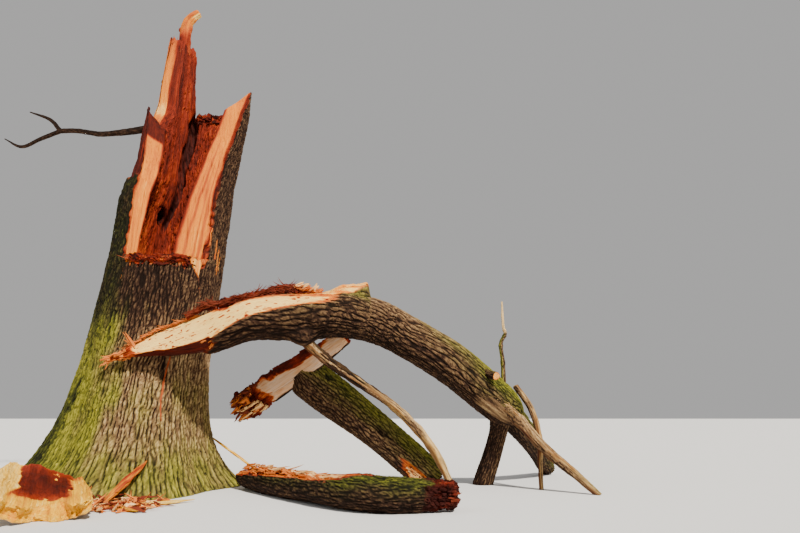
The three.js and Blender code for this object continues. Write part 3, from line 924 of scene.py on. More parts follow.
@dataclass(frozen=True)
class Crown:
    """The torn shell above the rim: two arms, the hollow between them and the spires.

    Attributes:
        trunk: The trunk that it stands on.
        hollow: Height, then the hollow's middle and half sizes as shares of the stem's radius.
        arms: Height, then the right and left edge of the opening, in degrees.
        crest: Direction in degrees, then height and how far the inner edge lies below the outer.
        foot: The height where the shell starts inside the stem.
        rows: Number of rings.
    """

    trunk: Trunk
    hollow: tuple[tuple[float, ...], ...] = (
        (2.5, -0.2, -0.3, 0.33, 0.8), (3.4, -0.19, -0.3, 0.34, 0.85), (4.4, -0.075, -0.3, 0.38, 0.9),
        (5.3, -0.03, -0.25, 0.5, 0.92), (6.0, 0.0, -0.2, 0.56, 0.95), (7.3, 0.05, -0.1, 0.62, 0.95),
    )
    arms: tuple[tuple[float, float, float], ...] = (
        (2.9, -53, 227), (3.86, -50, 224), (4.23, -49, 222), (4.72, -45, 212), (5.13, -38, 206),
        (5.6, -33, 195), (6.1, -20, 196),
    )
    crest: tuple[tuple[float, float, float], ...] = (
        (-22, 6.08, 0.5), (0, 6.0, 0.45), (30, 5.9, 0.25), (60, 5.85, 0.12), (98, 5.92, 0.06),
        (103, 6.3, 0.06), (110, 6.65, 0.06), (116, 6.99, 0.06), (120, 7.16, 0.06), (133, 6.93, 0.06),
        (140, 7.04, 0.06), (150, 7.13, 0.06), (154, 5.9, 0.06), (166, 5.38, 0.06), (184, 5.6, 0.4),
        (198, 5.56, 0.66),
    )
    foot: float = 2.5
    rows: int = 164

    def crest_turn(self, around: Array) -> Array:
        """Returns the crest's direction in degrees at a share of the way round."""
        return lerp(self.crest[0][0], self.crest[-1][0], around)

    def top(self, through: Array, around: Array) -> Array:
        """Returns the crest's height at shares of the way through and round the shell."""
        turn = self.crest_turn(around)
        return read(self.crest, turn) - read(self.crest, turn, 2) * (1 - through)

    def place(self, through: Array, around: Array, height: Array, bark: Array) -> tuple[Array, Array]:
        """Places points in the shell.

        Args:
            through: From 0 at the hollow to 1 at the bark.
            around: From 0 at the right arm to 1 at the left one.
            height: The height in metres.
            bark: The dressed radius less the plain one, in metres.

        Returns:
            The points, and their directions from the stem's middle.
        """
        right, left = (np.radians(read(self.arms, height, k)) for k in (1, 2))
        turn = lerp(right, left, around)
        radius = read(self.trunk.line, height, 3)
        x, y, wide, deep = (read(self.hollow, height, k) for k in range(1, 5))
        ends = [np.arcsin(np.clip((np.sin(end) - y) / deep, -0.95, 0.95)) for end in (right, left)]
        inner = lerp(ends[0], math.pi - ends[1], around)
        open_turn = math.radians(self.trunk.opening)
        outer = self.trunk.radius(turn + open_turn, height) + bark
        across = lerp((x + wide * np.cos(inner)) * radius, outer * np.cos(turn), through)
        away = lerp((y + deep * np.sin(inner)) * radius, outer * np.sin(turn), through)
        c, s = math.cos(open_turn), math.sin(open_turn)
        return self.trunk.leaned(across * c - away * s, across * s + away * c, height), turn + open_turn

    def spikes(self, spot: Spot) -> Array:
        """Tears the crest.

        Args:
            spot: The places.

        Returns:
            How far each stands up or down, in metres.
        """
        through, around = spot.through, spot.around
        at = np.stack([around * 3.3 / 0.035, through * 0.3 / 0.04, around * 0], -1)
        sharp = layered(at, 91, 2) ** 1.6
        slow = layered(np.stack([around * 3.3 / 0.14, through * 1.6, around * 0], -1), 94, 3) - 0.5
        turn = self.crest_turn(around)
        rear = smooth(4, 24, turn) * smooth(99, 92, turn)
        amount = 0.05 + 0.05 * hill(126, 30, turn)
        amount = amount * smooth(-22, -8, turn) * smooth(200, 186, turn)
        return smooth(0.8, 1, spot.share) * (amount * (2.0 * sharp - 0.55) + 0.26 * slow * (0.25 + rear))

    def sheet(self, through: Array, around: Array, share: Array, flip: bool = False) -> Patch:
        """Dresses one side of the shell.

        Args:
            through: From 0 at the hollow to 1 at the bark.
            around: From 0 at the right arm to 1 at the left one.
            share: From 0 at the foot to 1 at the crest.
            flip: Whether the faces are turned over.

        Returns:
            The sheet, which meets its neighbours wherever they share a place.
        """
        height = lerp(self.foot, self.top(through, around), share)
        plain, turn = self.place(through, around, height, height * 0)
        radius, grain, masks = self.trunk.bark(turn, height)
        spot = Spot(through, around, share, height, plain)
        outside = smooth(0.86, 0.99, through)
        sunk = 0.07 * smooth(3.12, 3.02, height)
        bark = (radius - self.trunk.radius(turn, height) - sunk) * outside
        points, _ = self.place(through, around, height, bark)
        inward = unit(plain - self.place(through + STEP, around, height, height * 0)[0])
        round_way = unit(self.place(through, around + STEP, height, height * 0)[0] - plain)
        deep = smooth(0.5, 0, through)
        crumbs = 0.65 * rot(plain, 101, 0.045, 6.0) + 0.35 * rot(plain, 102, 0.03, 2.0)
        cleft_depth_and_shade = self.clefts(spot)
        hollow = 0.075 * (waver(plain, 0.11, 0.9, 103) - 0.05) + 0.045 * (crumbs - 0.5) - 0.16 * cleft_depth_and_shade
        facing = smooth(0.94, 1, around) - smooth(0.06, 0, around)
        shingle = np.floor(layered(grain / np.array([0.1, 0.1, 1.1]), 105, 2) * 7) / 7
        face = 0.03 * (shingle - 0.5) + 0.008 * waver(plain, 0.014, 0.4, 107)
        bark_edge = smooth(0.9, 0.925, through + 0.12 * waver(plain, 0.16, 0.22, 119))
        face = face - bark_edge * (0.037 + 0.05 * waver(plain, 0.05, 0.11, 109, 2))
        points = points + inward * (hollow * deep * (1 - 0.85 * np.abs(facing)))[..., None]
        points = points + round_way * (facing * face)[..., None]
        points[..., 2] += self.spikes(spot)
        wood = self.wood_masks(spot, crumbs, cleft_depth_and_shade)
        within = 1 - smooth(0.955, 0.975, through)
        torn = np.maximum(within, masks["torn"])
        shown = {mask: lerp(masks[mask], wood[mask], within) for mask in wood}
        shown["torn"] = torn
        shown["moss"], shown["damp_and_shade"] = masks["moss"] * (1 - torn), masks["damp_and_shade"]
        straight = lerp(grain, plain, (1 - outside)[..., None])
        return Patch(points, straight, shown, flip=flip)

    def wood_masks(self, spot: Spot, crumbs: Array, cleft_depth_and_shade: Array) -> Masks:
        """Colours the torn wood.

        Args:
            spot: The places.
            crumbs: The rotten wood's relief.
            cleft_depth_and_shade: How deep the cleft and the hole in the back wall are, which also paints
                them dark as shade.

        Returns:
            The relief and how dark the wood is.
        """
        through, around, height = spot.through, spot.around, spot.height
        slow = waver(spot.plain, 0.16, 0.6, 111)
        fast = waver(spot.plain, 0.02, 0.35, 113)
        arm = np.maximum(smooth(0.03, 0, around), smooth(0.97, 1, around))
        inner_rim = smooth(0.12 + 0.2 * slow, 0, through)
        outer_rim = smooth(0.84, 0.93, through + 0.22 * slow)
        flow = np.stack([through * 0.5 / 0.013 + 0.8 * slow, 0 * through, height / 1.1], -1)
        streaks = smooth(0.46, 0.6, layered(flow, 117, 3)) * smooth(5.6, 4.4, height + 0.8 * slow)
        streaks = streaks * np.where(around < 0.5, smooth(0.1, 0.4, through), 0.3)
        pale = 0.19 + 0.2 * slow + 0.12 * fast + 0.6 * inner_rim + 0.5 * outer_rim + 0.2 * streaks
        near_arm = np.minimum(around, 1 - around)
        wall = 0.68 + 0.42 * slow + 0.5 * fast - 0.16 * smooth(0.16, 0, near_arm + 0.1 * slow)
        # Painted light: a lighter patch low on the back wall towards the left arm.
        wall = wall - 0.1 * hill(0.75, 0.1, around + 0.2 * slow) * smooth(5.3, 4.4, height)
        # Painted shade: the cleft and the hole are coloured darker here.
        wall = wall - 0.14 * smooth(3.6, 3.2, height) + 0.3 * cleft_depth_and_shade + 0.12 * (0.5 - crumbs)
        turn = self.crest_turn(around)
        lip = smooth(0.96, 0.99, spot.share)
        strip = hill(156, 12, turn) * smooth(147, 150, turn) * np.maximum(lip, hill(151.5, 4.5, turn))
        strip = strip * smooth(5.1, 5.5, height) * smooth(0.44, 0.48, through + 0.3 * slow)
        # Painted shadow: the top of the left arm's face, above a slanted line, and the crest beside it are
        # coloured dark brown.
        wedge_line = 4.86 + 0.2 * through + 0.06 * slow
        shadowed_wedge = smooth(0.97, 1, around) * smooth(-0.02, 0.02, height - wedge_line)
        shadowed_wedge = np.maximum(shadowed_wedge, smooth(172, 178, turn) * lip)
        heart = lerp(lerp(wall, pale, arm), 0.09 + 0.2 * slow + 0.1 * fast, strip)
        heart = lerp(heart, 0.86 + 0.3 * fast + 0.2 * slow, shadowed_wedge)
        relief = lerp(0.3 + 0.7 * crumbs, 0.7 + 0.3 * (fast + 0.5) - 0.3 * streaks, np.maximum(arm, strip))
        # Painted shade: lower relief in the cleft and the hole turns them near black in the finish.
        return {"relief": np.clip(relief - 0.2 * cleft_depth_and_shade, 0, 1), "heart": np.clip(heart, 0, 1)}

    def clefts(self, spot: Spot) -> Array:
        """Finds the deep cleft and the hole in the hollow's back wall.

        Args:
            spot: The places.

        Returns:
            How deep the wall is there, from 0 to 1; the same number paints the cleft and the hole dark as
            shade.
        """
        around, height = spot.around, spot.height
        sway = 0.05 * waver(spot.plain, 0.2, 0.3, 115, 2)
        middle = np.interp(height, [3.9, 4.23, 4.5, 4.94, 5.4, 5.9], [0.54, 0.505, 0.52, 0.549, 0.56, 0.55])
        wide = np.interp(height, [3.6, 4.2, 4.9, 5.7, 6], [0.03, 0.04, 0.058, 0.062, 0])
        cleft = smooth(1, 0.3, np.abs(around - middle + sway) / np.maximum(wide, 1e-3))
        cleft = cleft * smooth(3.7, 4, height) * smooth(5.95, 5.8, height)
        hole = smooth(1, 0.5, np.hypot((around - 0.61 + sway) / 0.05, (height - 4.02) / 0.17))
        return np.maximum(cleft, hole)

    def build(self) -> list[Piece]:
        """Returns the two halves of the shell."""
        through = np.concatenate([np.linspace(0, 0.86, 21), np.linspace(0.9, 1, 7)])
        share = np.linspace(0, 1, self.rows)
        halves = (("crown_right", np.linspace(0, 0.5, 118)), ("crown_left", np.linspace(0.5, 1, 128)))
        return [mesh_of(name, boxed(self.sheet, through, around, share)) for name, around in halves]


# Limbs


@dataclass(frozen=True)
class Tear:
    """A face that a limb was torn along.

    Attributes:
        side: The face's direction across the limb.
        up: Its direction up from the limb.
        distance: Pairs of share along the limb and distance from its middle, as a share of its radius.
        tone: How dark the face is.
        rough: The height of the steps on it.
    """

    side: float
    up: float
    distance: tuple[tuple[float, float], ...]
    tone: float = 0.05
    rough: float = 0.04


@dataclass(frozen=True)
class Limb:
    """One tapering limb on a smooth line through its stations.

    Attributes:
        name: The piece's name.
        stations: Position and radius at each station, in metres.
        node: The CAD node that it replaces, if any.
        slot: The record's finish.
        rings: Number of rings.
        sides: Number of points round the limb.
        flat: Its thickness as a share of its width.
        start: The share of the line where it starts.
        tear: Its torn face.
        depth: The depth of its bark.
        cell: The distance between two furrows.
        ends: How it starts and ends.
        mossy: How mossy its upper side is.
        damp_and_shade: How dark its bark is for dampness; the round side adds painted shade to this on the
            underside.
        wood: How much of it is bare wood, from 0 to 1.
        tone: How dark that wood is.
        salt: The number of its patterns.
        dress: What else is done to its surface.
    """

    name: str
    stations: tuple[tuple[float, float, float, float], ...]
    node: str
    slot: Slot
    rings: int = 120
    sides: int = 48
    flat: float = 1.0
    start: float = 0.0
    tear: Tear | None = None
    depth: float = 0.02
    cell: float = 0.05
    ends: tuple[End, End] = (End.HIDDEN, End.HIDDEN)
    mossy: float = 0.0
    damp_and_shade: float = 0.6
    wood: float = 0.0
    tone: float = 0.4
    salt: int = 200
    dress: Callable[["Coat"], None] | None = None

    def line(self, share: Array) -> Array:
        """Runs a smooth line through the stations.

        Args:
            share: Shares of the way along.

        Returns:
            Position and radius at each.
        """
        table = np.array(self.stations)
        table = np.vstack([2 * table[0] - table[1], table, 2 * table[-1] - table[-2]])
        runs = len(self.stations) - 1
        at = np.clip(share, 0, 1) * runs
        run = np.minimum(np.floor(at).astype(int), runs - 1)
        part = (at - run)[..., None]
        p0, p1, p2, p3 = (table[run + k] for k in range(4))
        square, cube = 2 * p0 - 5 * p1 + 4 * p2 - p3, 3 * p1 - p0 - 3 * p2 + p3
        return 0.5 * (2 * p1 + (p2 - p0) * part + square * part**2 + cube * part**3)

    def axes(self, share: Array) -> tuple[Array, Array, Array]:
        """Finds the limb's axes.

        Args:
            share: Shares of the way along.

        Returns:
            Its direction, its side and its upward axis at each.
        """
        ahead = self.line(np.minimum(share + STEP, 1)) - self.line(np.maximum(share - STEP, 0))
        ahead = unit(ahead[..., :3])
        side = unit(np.array([0.0, 1.0, 0.0]) - ahead * ahead[..., 1:2])
        return ahead, side, np.cross(ahead, side)

    def length(self) -> float:
        """Returns the sum of the runs between stations."""
        table = np.array(self.stations)[:, :3]
        return float(np.linalg.norm(np.diff(table, axis=0), axis=1).sum())

    def lumps(self, turn: Array, share: Array) -> Array:
        """Returns the limb's slow swellings as a share of its radius."""
        run = share * self.length()
        return 1 + 0.045 * (np.sin(3 * turn + 2.1 * run) + 0.6 * np.sin(2 * turn - 3.7 * run + 1.3))

    def surface(self, shares: Array) -> Patch:
        """Dresses the limb's round side.

        Args:
            shares: Where its rings stand.

        Returns:
            The sheet between its ends.
        """
        turn, share = np.meshgrid(np.arange(self.sides) * TAU / self.sides, shares)
        spine = self.line(share)
        _, side, up = self.axes(share)
        radius = spine[..., 3]
        middle = float(np.mean([station[3] for station in self.stations]))
        run = share * self.length()
        grain = ringed(turn, radius, run)
        relief = BarkPattern(middle, self.cell, 3.8, self.salt).relief(turn, run)
        fibre = fibres(grain, self.salt + 21, 0.012, 0.3)
        patchy = waver(grain, 0.03, 0.3, self.salt + 23)
        bare = smooth(0.36, 0.64, self.wood + 1.3 * patchy) if self.wood else patchy * 0
        height = lerp(self.depth * (relief - 0.8), 0.25 * self.depth * (fibre - 0.5), bare)
        reach = radius * self.lumps(turn, share) + height
        upper = 0.35 + 0.65 * (np.sin(turn) * 0.8 - 0.25 * np.cos(turn))
        masks = {
            "relief": lerp(relief, 0.55 + 0.45 * fibre, bare),
            "torn": bare,
            "heart": np.clip(self.tone + 0.5 * (fibre - 0.5) + 0.9 * patchy * (self.wood > 0), 0, 1),
            "moss": np.clip(self.mossy * upper + 0.1, 0, 1) * (self.mossy > 0),
            # Painted shade: the underside takes more of this mask than the top, so it is darker.
            "damp_and_shade": np.clip(self.damp_and_shade - 0.4 * np.sin(turn), 0, 1),
        }
        if self.dress:
            coat = Coat(self, turn, share, reach, masks)
            self.dress(coat)
            reach = coat.reach
        across, above = reach * self.flat * np.cos(turn), reach * np.sin(turn)
        if self.tear:
            across, above = self.torn(across, above, spine, share, masks)
        points = spine[..., :3] + side * across[..., None] + up * above[..., None]
        return Patch(points, np.stack([across, above, run], -1), masks, around=True)

    def torn(
        self, across: Array, above: Array, spine: Array, share: Array, masks: Masks
    ) -> tuple[Array, Array]:
        """Cuts the limb back to its torn face.

        Args:
            across: The distance to the side.
            above: The distance up.
            spine: The middle line's position and radius.
            share: The share along it.
            masks: The masks, which this changes.

        Returns:
            The new distances across and above.
        """
        radius = spine[..., 3]
        across_face = (-across * self.tear.up + above * self.tear.side) / radius
        run = share * self.length()
        flow = np.stack([across_face * radius, 0 * run, run], -1)
        steps = np.floor(layered(flow / np.array([0.09, 1.0, 0.9]), self.salt + 31, 2) * 6) / 6
        hair = fibres(flow, self.salt + 33, 0.012, 0.35)
        plane = radius * read(self.tear.distance, share)
        plane = plane + self.tear.rough * (steps - 0.5 + 0.2 * (hair - 0.5))
        beyond = (across * self.tear.side + above * self.tear.up - plane) * (1 - masks.pop("spared", 0.0))
        cut = np.maximum(beyond, 0)
        face = smooth(0, 0.012, beyond)
        across, above = across - cut * self.tear.side, above - cut * self.tear.up
        edge = smooth(0.05, 0, beyond) * face
        flecks = smooth(0.835, 0.86, layered(flow / np.array([0.016, 1, 0.045]), self.salt + 35, 1))
        tone = self.tear.tone + 0.25 * (steps - 0.5) + 0.3 * (hair - 0.5)
        tone = np.clip(tone + np.maximum(0.5 * edge, 0.8 * flecks), 0, 1)
        masks["heart"] = lerp(masks["heart"], tone, face)
        masks["torn"] = np.maximum(masks["torn"], face)
        masks["relief"] = lerp(masks["relief"], 0.8 + 0.3 * hair, face)
        masks["moss"] = masks["moss"] * (1 - face)
        return across, above

    def close(self, side: Patch, first: bool) -> Patch:
        """Closes one end.

        Args:
            side: The limb's round side.
            first: Whether it is the first end.

        Returns:
            The sheet that closes it.
        """
        row, inner = (0, 1) if first else (-1, -2)
        end = self.ends[0 if first else 1]
        edge = side.points[row]
        middle = edge.mean(axis=0)
        out = unit(middle - side.points[inner].mean(axis=0))
        size = float(np.linalg.norm(edge - middle, axis=1).mean())
        share = np.linspace(1, 0, CAP_ROWS)[:, None]
        points = lerp(middle, edge, share[..., None])
        grain = lerp(side.grain[row].mean(axis=0), side.grain[row], share[..., None])
        inside = smooth(0, 0.2, 1 - share)
        whole = np.ones(points.shape[:2])
        masks = {"torn": whole, "relief": whole * 0.8, "heart": whole * self.tone}
        if end is End.HIDDEN:
            masks = {"relief": masks["relief"] * 0.4, "damp_and_shade": whole}
        elif end is End.TORN:
            teeth = layered(grain / 0.025, self.salt + 41, 2) - 0.35
            points = points + out * (inside * (0.9 * size * teeth))[..., None]
            masks["relief"] = np.clip(0.3 + 1.2 * (teeth + 0.35), 0, 1)
            masks["heart"] = np.clip(self.tone + 0.15 - 0.4 * teeth, 0, 1)
        elif end is End.SAWN:
            rings = 0.5 + 0.5 * np.sin(share * 46)
            masks["heart"] = (0.06 + 0.1 * rings + 0.3 * smooth(0.85, 1, share)) * whole
        return Patch(points, grain, masks, around=True, flip=first)

    def build(self) -> Piece:
        """Returns the finished limb, cut level with the ground."""
        side = self.surface(np.linspace(self.start, 1, self.rings))
        patches = [side, self.close(side, True), self.close(side, False)]
        for patch in patches:
            patch.points[..., 2] = np.maximum(patch.points[..., 2], 0)
        return mesh_of(self.name, patches)


@dataclass
class Coat:
    """A limb's surface while it is dressed, with one method for each kind of limb.

    Attributes:
        limb: The limb.
        turn: The angle round it.
        share: The share along it.
        reach: The distance from its middle line.
        masks: What the finish reads.
    """

    limb: Limb
    turn: Array
    share: Array
    reach: Array
    masks: Masks

    def ring(self, across: float, above: float | None = None) -> Array:
        """Returns the surface on a straight rod with those half sizes."""
        above, run = above or across, self.share * self.limb.length()
        return np.stack([np.cos(self.turn) * across, np.sin(self.turn) * above, run], -1)

    def angle(self) -> Array:
        """Returns the angle round the limb in degrees."""
        return np.degrees(self.turn)

    def tear(self, *places: Array) -> None:
        """Marks places as torn wood."""
        self.masks["torn"] = np.maximum.reduce([self.masks["torn"], *places])

    def fade(self, mask: str, share: Array) -> None:
        """Multiplies a mask by a share."""
        self.masks[mask] = self.masks[mask] * share

    def mix(self, amount: Array | float, **values: Array | float) -> None:
        """Moves each mask that is named by an amount towards a value."""
        for mask, value in values.items():
            self.masks[mask] = lerp(self.masks[mask], value, amount)

    def butt(self) -> None:
        """Adds the rough ridge behind the torn face, the burl and the bare underside of the butt, which is
        painted dark as shade.
        """
        share, angle, long, ring = self.share, self.angle(), self.limb.length(), self.ring(0.3)
        ragged, run = waver(ring, 0.07, 0.12, 301), ring[..., 2]
        shaded_underside = smooth(0.475, 0.455, share + 0.09 * ragged + 0.0006 * (angle - 230))
        chips, crumbs = waver(ring, 0.03, 0.35, 303), rot(ring, 305, 0.05, 3)
        reach = self.reach + shaded_underside * (0.05 * chips - 0.035 - self.masks["relief"] * self.limb.depth)
        prong = smooth(0.155, 0.14, share + 0.02 * ragged)
        reach = reach * (1 - 0.08 * prong)
        trims = ((0.43, 0), (0.47, 6), (0.54, 14), (0.6, 14), (0.66, 11), (0.73, 14), (0.78, 10), (0.86, 0))
        reach = reach - 0.01 * read(trims, share) * smooth(5, 40, angle) * smooth(160, 105, angle)
        rough = smooth(0.42, 0.46, share + 0.1 * ragged) * smooth(0.8, 0.76, share + 0.1 * ragged)
        rough = rough * smooth(10, 40, angle) * smooth(112, 104, angle + 30 * ragged)
        fin = np.clip((share - 0.75) / 0.2, 0, 1) ** 1.6 * smooth(0.985, 0.945, share + 0.02 * ragged)
        fin = 0.22 * fin * smooth(lerp(58, 76, fin), 90, angle) * smooth(126, 98, angle)
        reach = reach + fin * (0.9 + 0.5 * ragged)
        pale_top = smooth(0.68, 0.74, share + 0.1 * ragged) * smooth(0.97, 0.955, share)
        pale_top = pale_top * smooth(64, 70, angle + 20 * ragged)
        limits = read(((0.7, 165), (0.78, 158), (0.85, 139), (0.9, 120), (0.97, 103)), share)
        pale_top = pale_top * smooth(0, -6, angle + 12 * ragged - limits)
        edge = smooth(0.1, 0.16, share) * smooth(0.5, 0.42, share) * smooth(20, 40, angle)
        limit = lerp(62, 78, smooth(0.4, 0.2, share))
        edge = edge * smooth(limit + 16, limit, angle + 16 * ragged)
        burl = np.hypot((run - long * 0.785) / 0.16, (angle - 205) / 26)
        reach = reach + 0.035 * smooth(1.2, 0.2, burl) + 0.012 * np.sin(burl * 13) * smooth(1.5, 0.5, burl)
        knob = np.hypot((run - long * 0.735) / 0.24, (angle - 250) / 34)
        self.reach = reach + 0.13 * smooth(1, 0, knob) - 0.05 * smooth(0.955, 1, share)
        self.tear(shaded_underside, rough, pale_top)
        # Painted shade: the bare underside is coloured nearly as dark as rotten wood.
        self.mix(shaded_underside, heart=0.88 + 0.4 * chips)
        self.mix(np.maximum(prong, edge), heart=0.5 + 0.7 * chips + 0.4 * ragged)
        self.mix(pale_top, heart=0.14 + 0.5 * chips + 0.3 * ragged)
        self.mix(rough, heart=0.74 + 0.5 * ragged)
        self.mix(np.maximum(shaded_underside * 0.5, rough), relief=0.35 + 0.65 * crumbs)
        self.fade("moss", 0.8 * smooth(0.45, 0.7, share) * (1 - np.maximum(rough, pale_top)))
        self.masks["spared"] = np.maximum(prong, smooth(0.8, 0.86, share))

    def stem(self) -> None:
        """Bares the smooth brown band that runs down from the fallen stem into the pole."""
        share, ring, depth = self.share, self.ring(0.3), self.limb.depth
        ragged, streaks = waver(ring, 0.08, 0.2, 311), waver(ring, 0.035, 0.4, 313)
        band = smooth(28, 20, np.abs(self.angle() - 208 + 16 * ragged))
        band = band * smooth(0.6, 0.66, share + 0.06 * ragged)
        self.reach = self.reach + band * (0.7 * depth - self.masks["relief"] * depth + 0.05 * streaks)
        self.mix(band, relief=np.clip(0.65 + 1.6 * streaks, 0, 1))
        self.fade("damp_and_shade", 1 - 0.7 * band)
        self.fade("moss", (0.35 + 0.65 * smooth(0.25, 0.67, share)) * (1 - 0.4 * band))

    def slab(self) -> None:
        """Gives the second slab its pale face, red upper edge and rotten end, with bark behind."""
        share, angle, ring = self.share, self.angle(), self.ring(0.1, 0.2)
        ragged = waver(ring, 0.06, 0.16, 321)
        crumbs, chips = rot(ring, 323, 0.035, 3.5), waver(ring, 0.014, 0.3, 325)
        front = smooth(74, 84, angle + 18 * ragged) * smooth(296, 286, angle + 18 * ragged)
        wide = lerp(128, 164, hill(0.62, 0.4, share))
        edge = smooth(60, 80, angle) * smooth(8, -8, angle + 50 * ragged - wide) * smooth(0.9, 0.8, share)
        rotten = smooth(0.3, 0.2, share + 0.25 * ragged - 0.0008 * (angle - 180))
        low = smooth(238, 246, angle + 30 * ragged) * (1 - rotten)
        rough = np.maximum(edge, rotten)
        reach = self.reach + rough * 0.07 * (crumbs - 0.5) + 0.04 * rough * ragged
        reach = reach + rotten * 0.22 * (waver(ring, 0.05, 0.3, 327, 2) - 0.05)
        skin = self.masks["relief"] * self.limb.depth * 0.9
        self.reach = reach + front * (1 - rough) * (0.012 * chips - skin)
        self.masks["torn"] = np.maximum(front * (1 - low), rotten)
        heart = 0.3 * chips + lerp(0.1 + 0.25 * ragged, 0.78 + 0.6 * ragged, rough)
        self.masks["heart"] = np.clip(heart, 0, 1)
        self.mix(self.masks["torn"], relief=lerp(0.85 + 0.3 * chips, 0.25 + 0.75 * crumbs, rough))

    def second(self) -> None:
        """Tears the second bough's lower end, where it meets the ground, and rounds its upper one."""
        share, ring = self.share, self.ring(0.26)
        ragged, chips = waver(ring, 0.07, 0.22, 331), waver(ring, 0.02, 0.3, 333)
        bare = smooth(26, 20, np.abs(self.angle() - 212 + 60 * ragged))
        bare = bare * smooth(0.8, 0.86, share + 0.2 * ragged)
        reach = self.reach + bare * (0.05 * (chips - 0.1) - 0.6 * self.masks["relief"] * self.limb.depth)
        self.reach = reach * (1 - 0.4 * smooth(0.09, 0, share) ** 2)
        self.tear(bare)
        self.mix(bare, heart=0.3 + 1.2 * chips, relief=0.7 + 0.6 * chips)
        self.fade("moss", 1 - bare)

    def log(self) -> None:
        """Rots the right-hand end of the log on the ground."""
        ring = self.ring(0.18)
        ragged, crumbs = waver(ring, 0.07, 0.14, 341), rot(ring, 343, 0.04, 3)
        rotten = smooth(0.86, 0.91, self.share + 0.16 * ragged)
        self.reach = self.reach + rotten * (0.07 * (crumbs - 0.7)) + 0.03 * ragged
        self.tear(rotten)
        self.mix(rotten, heart=0.92 + 0.8 * ragged, relief=0.3 + 0.7 * crumbs)

    def shoot(self) -> None:
        """Bares the upper half of the crooked shoot and adds its knots."""
        self.tear(smooth(0.6, 0.7, self.share))
        self.mix(1.0, heart=0.02)
        self.fade("moss", smooth(0.75, 0.6, self.share))
        self.reach = self.reach * (1 + 0.25 * np.clip(np.sin(self.share * 37), 0, 1) ** 4)

    def torn(self) -> None:
        """Turns the limb into a lumpy ridge of rotten torn wood."""
        limb, ring = self.limb, self.ring(0.09)
        crumbs, chips = rot(ring, limb.salt + 61, 0.035, 3), waver(ring, 0.012, 0.12, limb.salt + 65)
        lumps = waver(ring, 0.07, 0.12, limb.salt + 63)
        self.masks["torn"] = np.ones(self.share.shape)
        self.masks["heart"] = np.clip(limb.tone + 0.9 * lumps + 0.5 * chips, 0, 1)
        self.masks["relief"] = 0.25 + 0.75 * crumbs
        self.reach = self.reach * (1 + 1.1 * lumps) + limb.depth * (crumbs - 0.5 + 1.2 * chips)

    def hook(self) -> None:
        """Makes the spire's hook angular and streaked, with a dark knot on its left side."""
        share, ring = self.share, self.ring(0.08)
        ridges, lumps = waver(ring, 0.035, 0.4, 351, 2), waver(ring, 0.09, 0.12, 353, 2)
        knot = smooth(1, 0.3, np.hypot((share - 0.47) / 0.07, wrapped(self.turn - math.pi / 2) / 0.7))
        heart = 0.24 + 0.7 * ridges + 0.4 * lumps + 0.6 * knot + 0.4 * smooth(0.45, 0.2, share)
        self.masks["heart"] = np.clip(heart, 0, 1)
        self.masks["relief"] = np.clip(0.7 + 0.9 * ridges - 0.4 * knot, 0, 1)
        self.reach = self.reach * (1.02 + 0.55 * ridges + 0.35 * lumps + 0.35 * knot)

    def wear_and_shade(self) -> None:
        """Weathers a branch that has lost most of its bark: ribbed, knotty and streaked, with painted shade
        darkening its underside.
        """
        ring, masks, salt = self.ring(0.06), self.masks, self.limb.salt
        ribs, knots = waver(ring, 0.028, 0.3, salt + 55), waver(ring, 0.08, 0.12, salt + 57, 2)
        masks["relief"] = np.clip(0.25 + 0.7 * masks["relief"] + 0.7 * ribs, 0, 1)
        # Painted shade: the underside is coloured darker.
        shaded_underside = smooth(0.2, -0.8, np.sin(self.turn))
        masks["heart"] = np.clip(masks["heart"] + 0.7 * ribs + 0.3 * shaded_underside, 0, 1)
        self.fade("moss", smooth(0.5, 0.9, self.share))
        self.reach = self.reach * (1 + 0.35 * knots + 0.3 * ribs)

    def prop(self) -> None:
        """Weathers the propping branch, with painted shade on its underside, but keeps streaks of bark on its
        upper half.
        """
        self.wear_and_shade()
        streaks = waver(self.ring(0.06), 0.03, 0.4, 361)
        kept = smooth(0.6, 0.4, self.share) * smooth(0.02, 0.12, 0.1 + streaks + 0.1 * np.sin(self.turn))
        self.fade("torn", 1 - 0.9 * kept)
        self.fade("relief", 1 - 0.3 * kept)
        self.fade("heart", 1 - 0.4 * smooth(0.4, 0.7, self.share))
        self.masks["damp_and_shade"] = np.clip(self.masks["damp_and_shade"] + 0.9 * kept, 0, 1)
        self.reach = self.reach + 0.3 * self.limb.depth * kept

    def twig(self) -> None:
        """Adds knots and slow swellings to a thin bare bough."""
        relief = self.masks["relief"]
        self.masks["relief"] = lerp(relief * 0.6, relief, self.masks["torn"])
        self.reach = self.reach * (1.04 + 0.28 * waver(self.ring(0.04), 0.06, 0.14, self.limb.salt + 51, 2))


